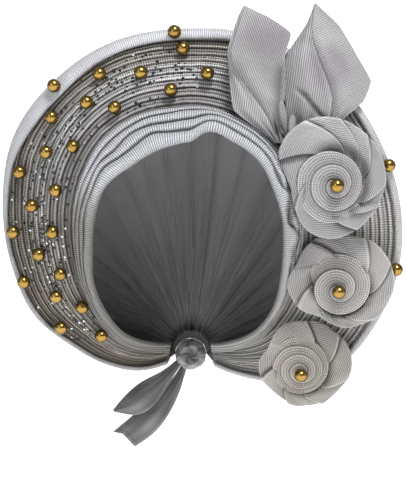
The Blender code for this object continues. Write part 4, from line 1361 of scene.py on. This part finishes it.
def place_tree(name, finish):
    """Sets copies of one part on points: facing along one attribute, lying along another."""
    sizes = {
        "Part": ("NodeSocketObject", None),
        "Size": ("NodeSocketFloat", 1.0),
        "Size Spread": ("NodeSocketFloat", 0.0),
        "Seed": ("NodeSocketInt", 1),
    }
    tree, given = new_tree(name, sizes)
    part = node(tree, "GeometryNodeObjectInfo", [("Object", given["Part"])]).outputs["Geometry"]
    upright = node(
        tree, "FunctionNodeAlignRotationToVector",
        [("Vector", named(tree, "facing", "FLOAT_VECTOR"))], axis="Z",
    ).outputs[0]
    laid = node(
        tree, "FunctionNodeAlignRotationToVector",
        [("Rotation", upright), ("Vector", named(tree, "lying", "FLOAT_VECTOR"))],
        axis="X", pivot_axis="Z",
    ).outputs[0]
    chance = node(
        tree, "FunctionNodeRandomValue",
        [("Min", -1.0), ("Max", 1.0), ("Seed", given["Seed"])], data_type="FLOAT",
    )
    spread = next(o for o in chance.outputs if o.enabled)
    scale = maths(tree, "MULTIPLY_ADD", spread, given["Size Spread"], given["Size"])
    copies = node(
        tree, "GeometryNodeInstanceOnPoints",
        [("Points", given["Geometry"]), ("Instance", part), ("Rotation", laid), ("Scale", scale)],
    ).outputs[0]
    finish_tree(tree, copies, finish)
    return tree


def scatter(name, spots, facing, lying, part, finish, **sizes):
    """A plain mesh of copies of a part, from points and the two ways that each one turns."""
    mesh = bpy.data.meshes.new(name)
    mesh.from_pydata(np.asarray(spots).tolist(), [], [])
    give(mesh, "facing", facing, "FLOAT_VECTOR")
    give(mesh, "lying", lying, "FLOAT_VECTOR")
    piece = link(bpy.data.objects.new(name, mesh))
    return grow(piece, place_tree(f"place_{name}", finish), Part=part, **sizes)


bead_names = sorted(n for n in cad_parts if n.startswith("bead_"))
spots, facing, lying = [], [], []
for name in bead_names:
    low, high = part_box(name)
    spot = (np.array(low) + np.array(high)) / 2
    reach = math.hypot(spot[0], spot[2] - CLOCK_CENTRE_Z)
    around = np.array((-(spot[2] - CLOCK_CENTRE_Z), 0.0, spot[0])) / reach
    spots.append(spot)
    facing.append(FRONT)
    lying.append(around)
one_bead = lathe_bead()
beads = scatter("gold_beads", spots, facing, lying, one_bead, gold_finish)
bpy.data.objects.remove(one_bead)
dress(beads, "gold_bead", *bead_names)

# %% [markdown]
# ## Stones in the grooves
#
# Hundreds of tiny foil-backed stones are glued along the grooves of the fan's left and upper
# part, most of them dark and some silver. They are points along the groove lines, thinned by a
# fixed random draw, with a little cut stone of a few faces on each.


# %% The stones
STONE_STEP = 0.0027
FAN_MIDDLE = 0.105


def stone_finish(name, colour, rough):
    made, tree, shader, at = new_finish(name, Metallic=0.6, Roughness=rough, Coat_Weight=0.6)
    # Painted glints: Voronoi cells make the stone's colour lighter and darker in patches.
    painted_glint = node(tree, "ShaderNodeTexVoronoi", [("Vector", at), ("Scale", 700.0)]).outputs["Distance"]
    light = remap(tree, painted_glint, 0.0, 0.8, 0.5, 1.4)
    feed(tree, shader, Base_Color=scaled(tree, colour, light))
    return made


def cut_stone():
    """A stone with a flat table, eight sloping facets and a flat back."""
    sides = 8
    rings = ((0.00052, 0.00042), (0.00090, 0.00008), (0.00078, -0.00025))
    points = []
    for i, (r, z) in enumerate(rings):
        for k in range(sides):
            a = 2 * math.pi * (k + 0.5 * i) / sides
            points.append((r * math.cos(a), r * math.sin(a), z))
    faces = [
        (start + k, start + sides + k, start + sides + (k + 1) % sides, start + (k + 1) % sides)
        for start in (0, sides) for k in range(sides)
    ]
    faces += [tuple(range(sides)), tuple(2 * sides + k for k in reversed(range(sides)))]
    mesh = bpy.data.meshes.new("one_stone")
    mesh.from_pydata(points, [], faces)
    return link(bpy.data.objects.new("one_stone", mesh))


def stone_places(seed, keep):
    rng = np.random.default_rng(seed)
    spots, facing, lying = [], [], []
    for groove in range(2, 11):
        clock = 84.0
        while clock < 226:
            clock += math.degrees(STONE_STEP / FAN_MIDDLE) * rng.uniform(0.7, 1.5)
            share = (groove + rng.choice((0.96, 0.54)) + rng.normal(0, 0.05)) / PLEATS
            patch = 0.75 + 0.5 * math.sin(clock * 0.21 + groove * 1.9) * math.sin(clock * 0.057 + groove)
            chance = keep * patch * (0.35 + 0.65 * math.sin(math.pi * min(groove - 1, 8) / 9))
            if rng.random() > chance:
                continue
            out = fan_normal(clock, share)
            above = fan_point(clock, share, 0.01)
            hit, spot, _, _ = fan.ray_cast(Vector(above), Vector(-out))
            if not hit:
                continue
            spots.append(np.array(spot) + out * 0.0003)
            facing.append(out)
            lying.append(unit(np.cross(out, rng.normal(size=3))))
    return spots, facing, lying


one_stone = cut_stone()
dark_stone = stone_finish("dark_stone", (0.035, 0.030, 0.028), 0.25)
silver_stone = stone_finish("silver_stone", (0.80, 0.82, 0.85), 0.12)
spots = stone_places(3, 0.92)
stones_dark = scatter("stones_dark", *spots, one_stone, dark_stone, Size_Spread=0.5)
spots = stone_places(8, 0.20)
stones_silver = scatter("stones_silver", *spots, one_stone, silver_stone, Size_Spread=0.2)
bpy.data.objects.remove(one_stone)
for stones in (stones_dark, stones_silver):
    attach(stones, "root")
    print(stones.name, triangles(stones), "triangles")
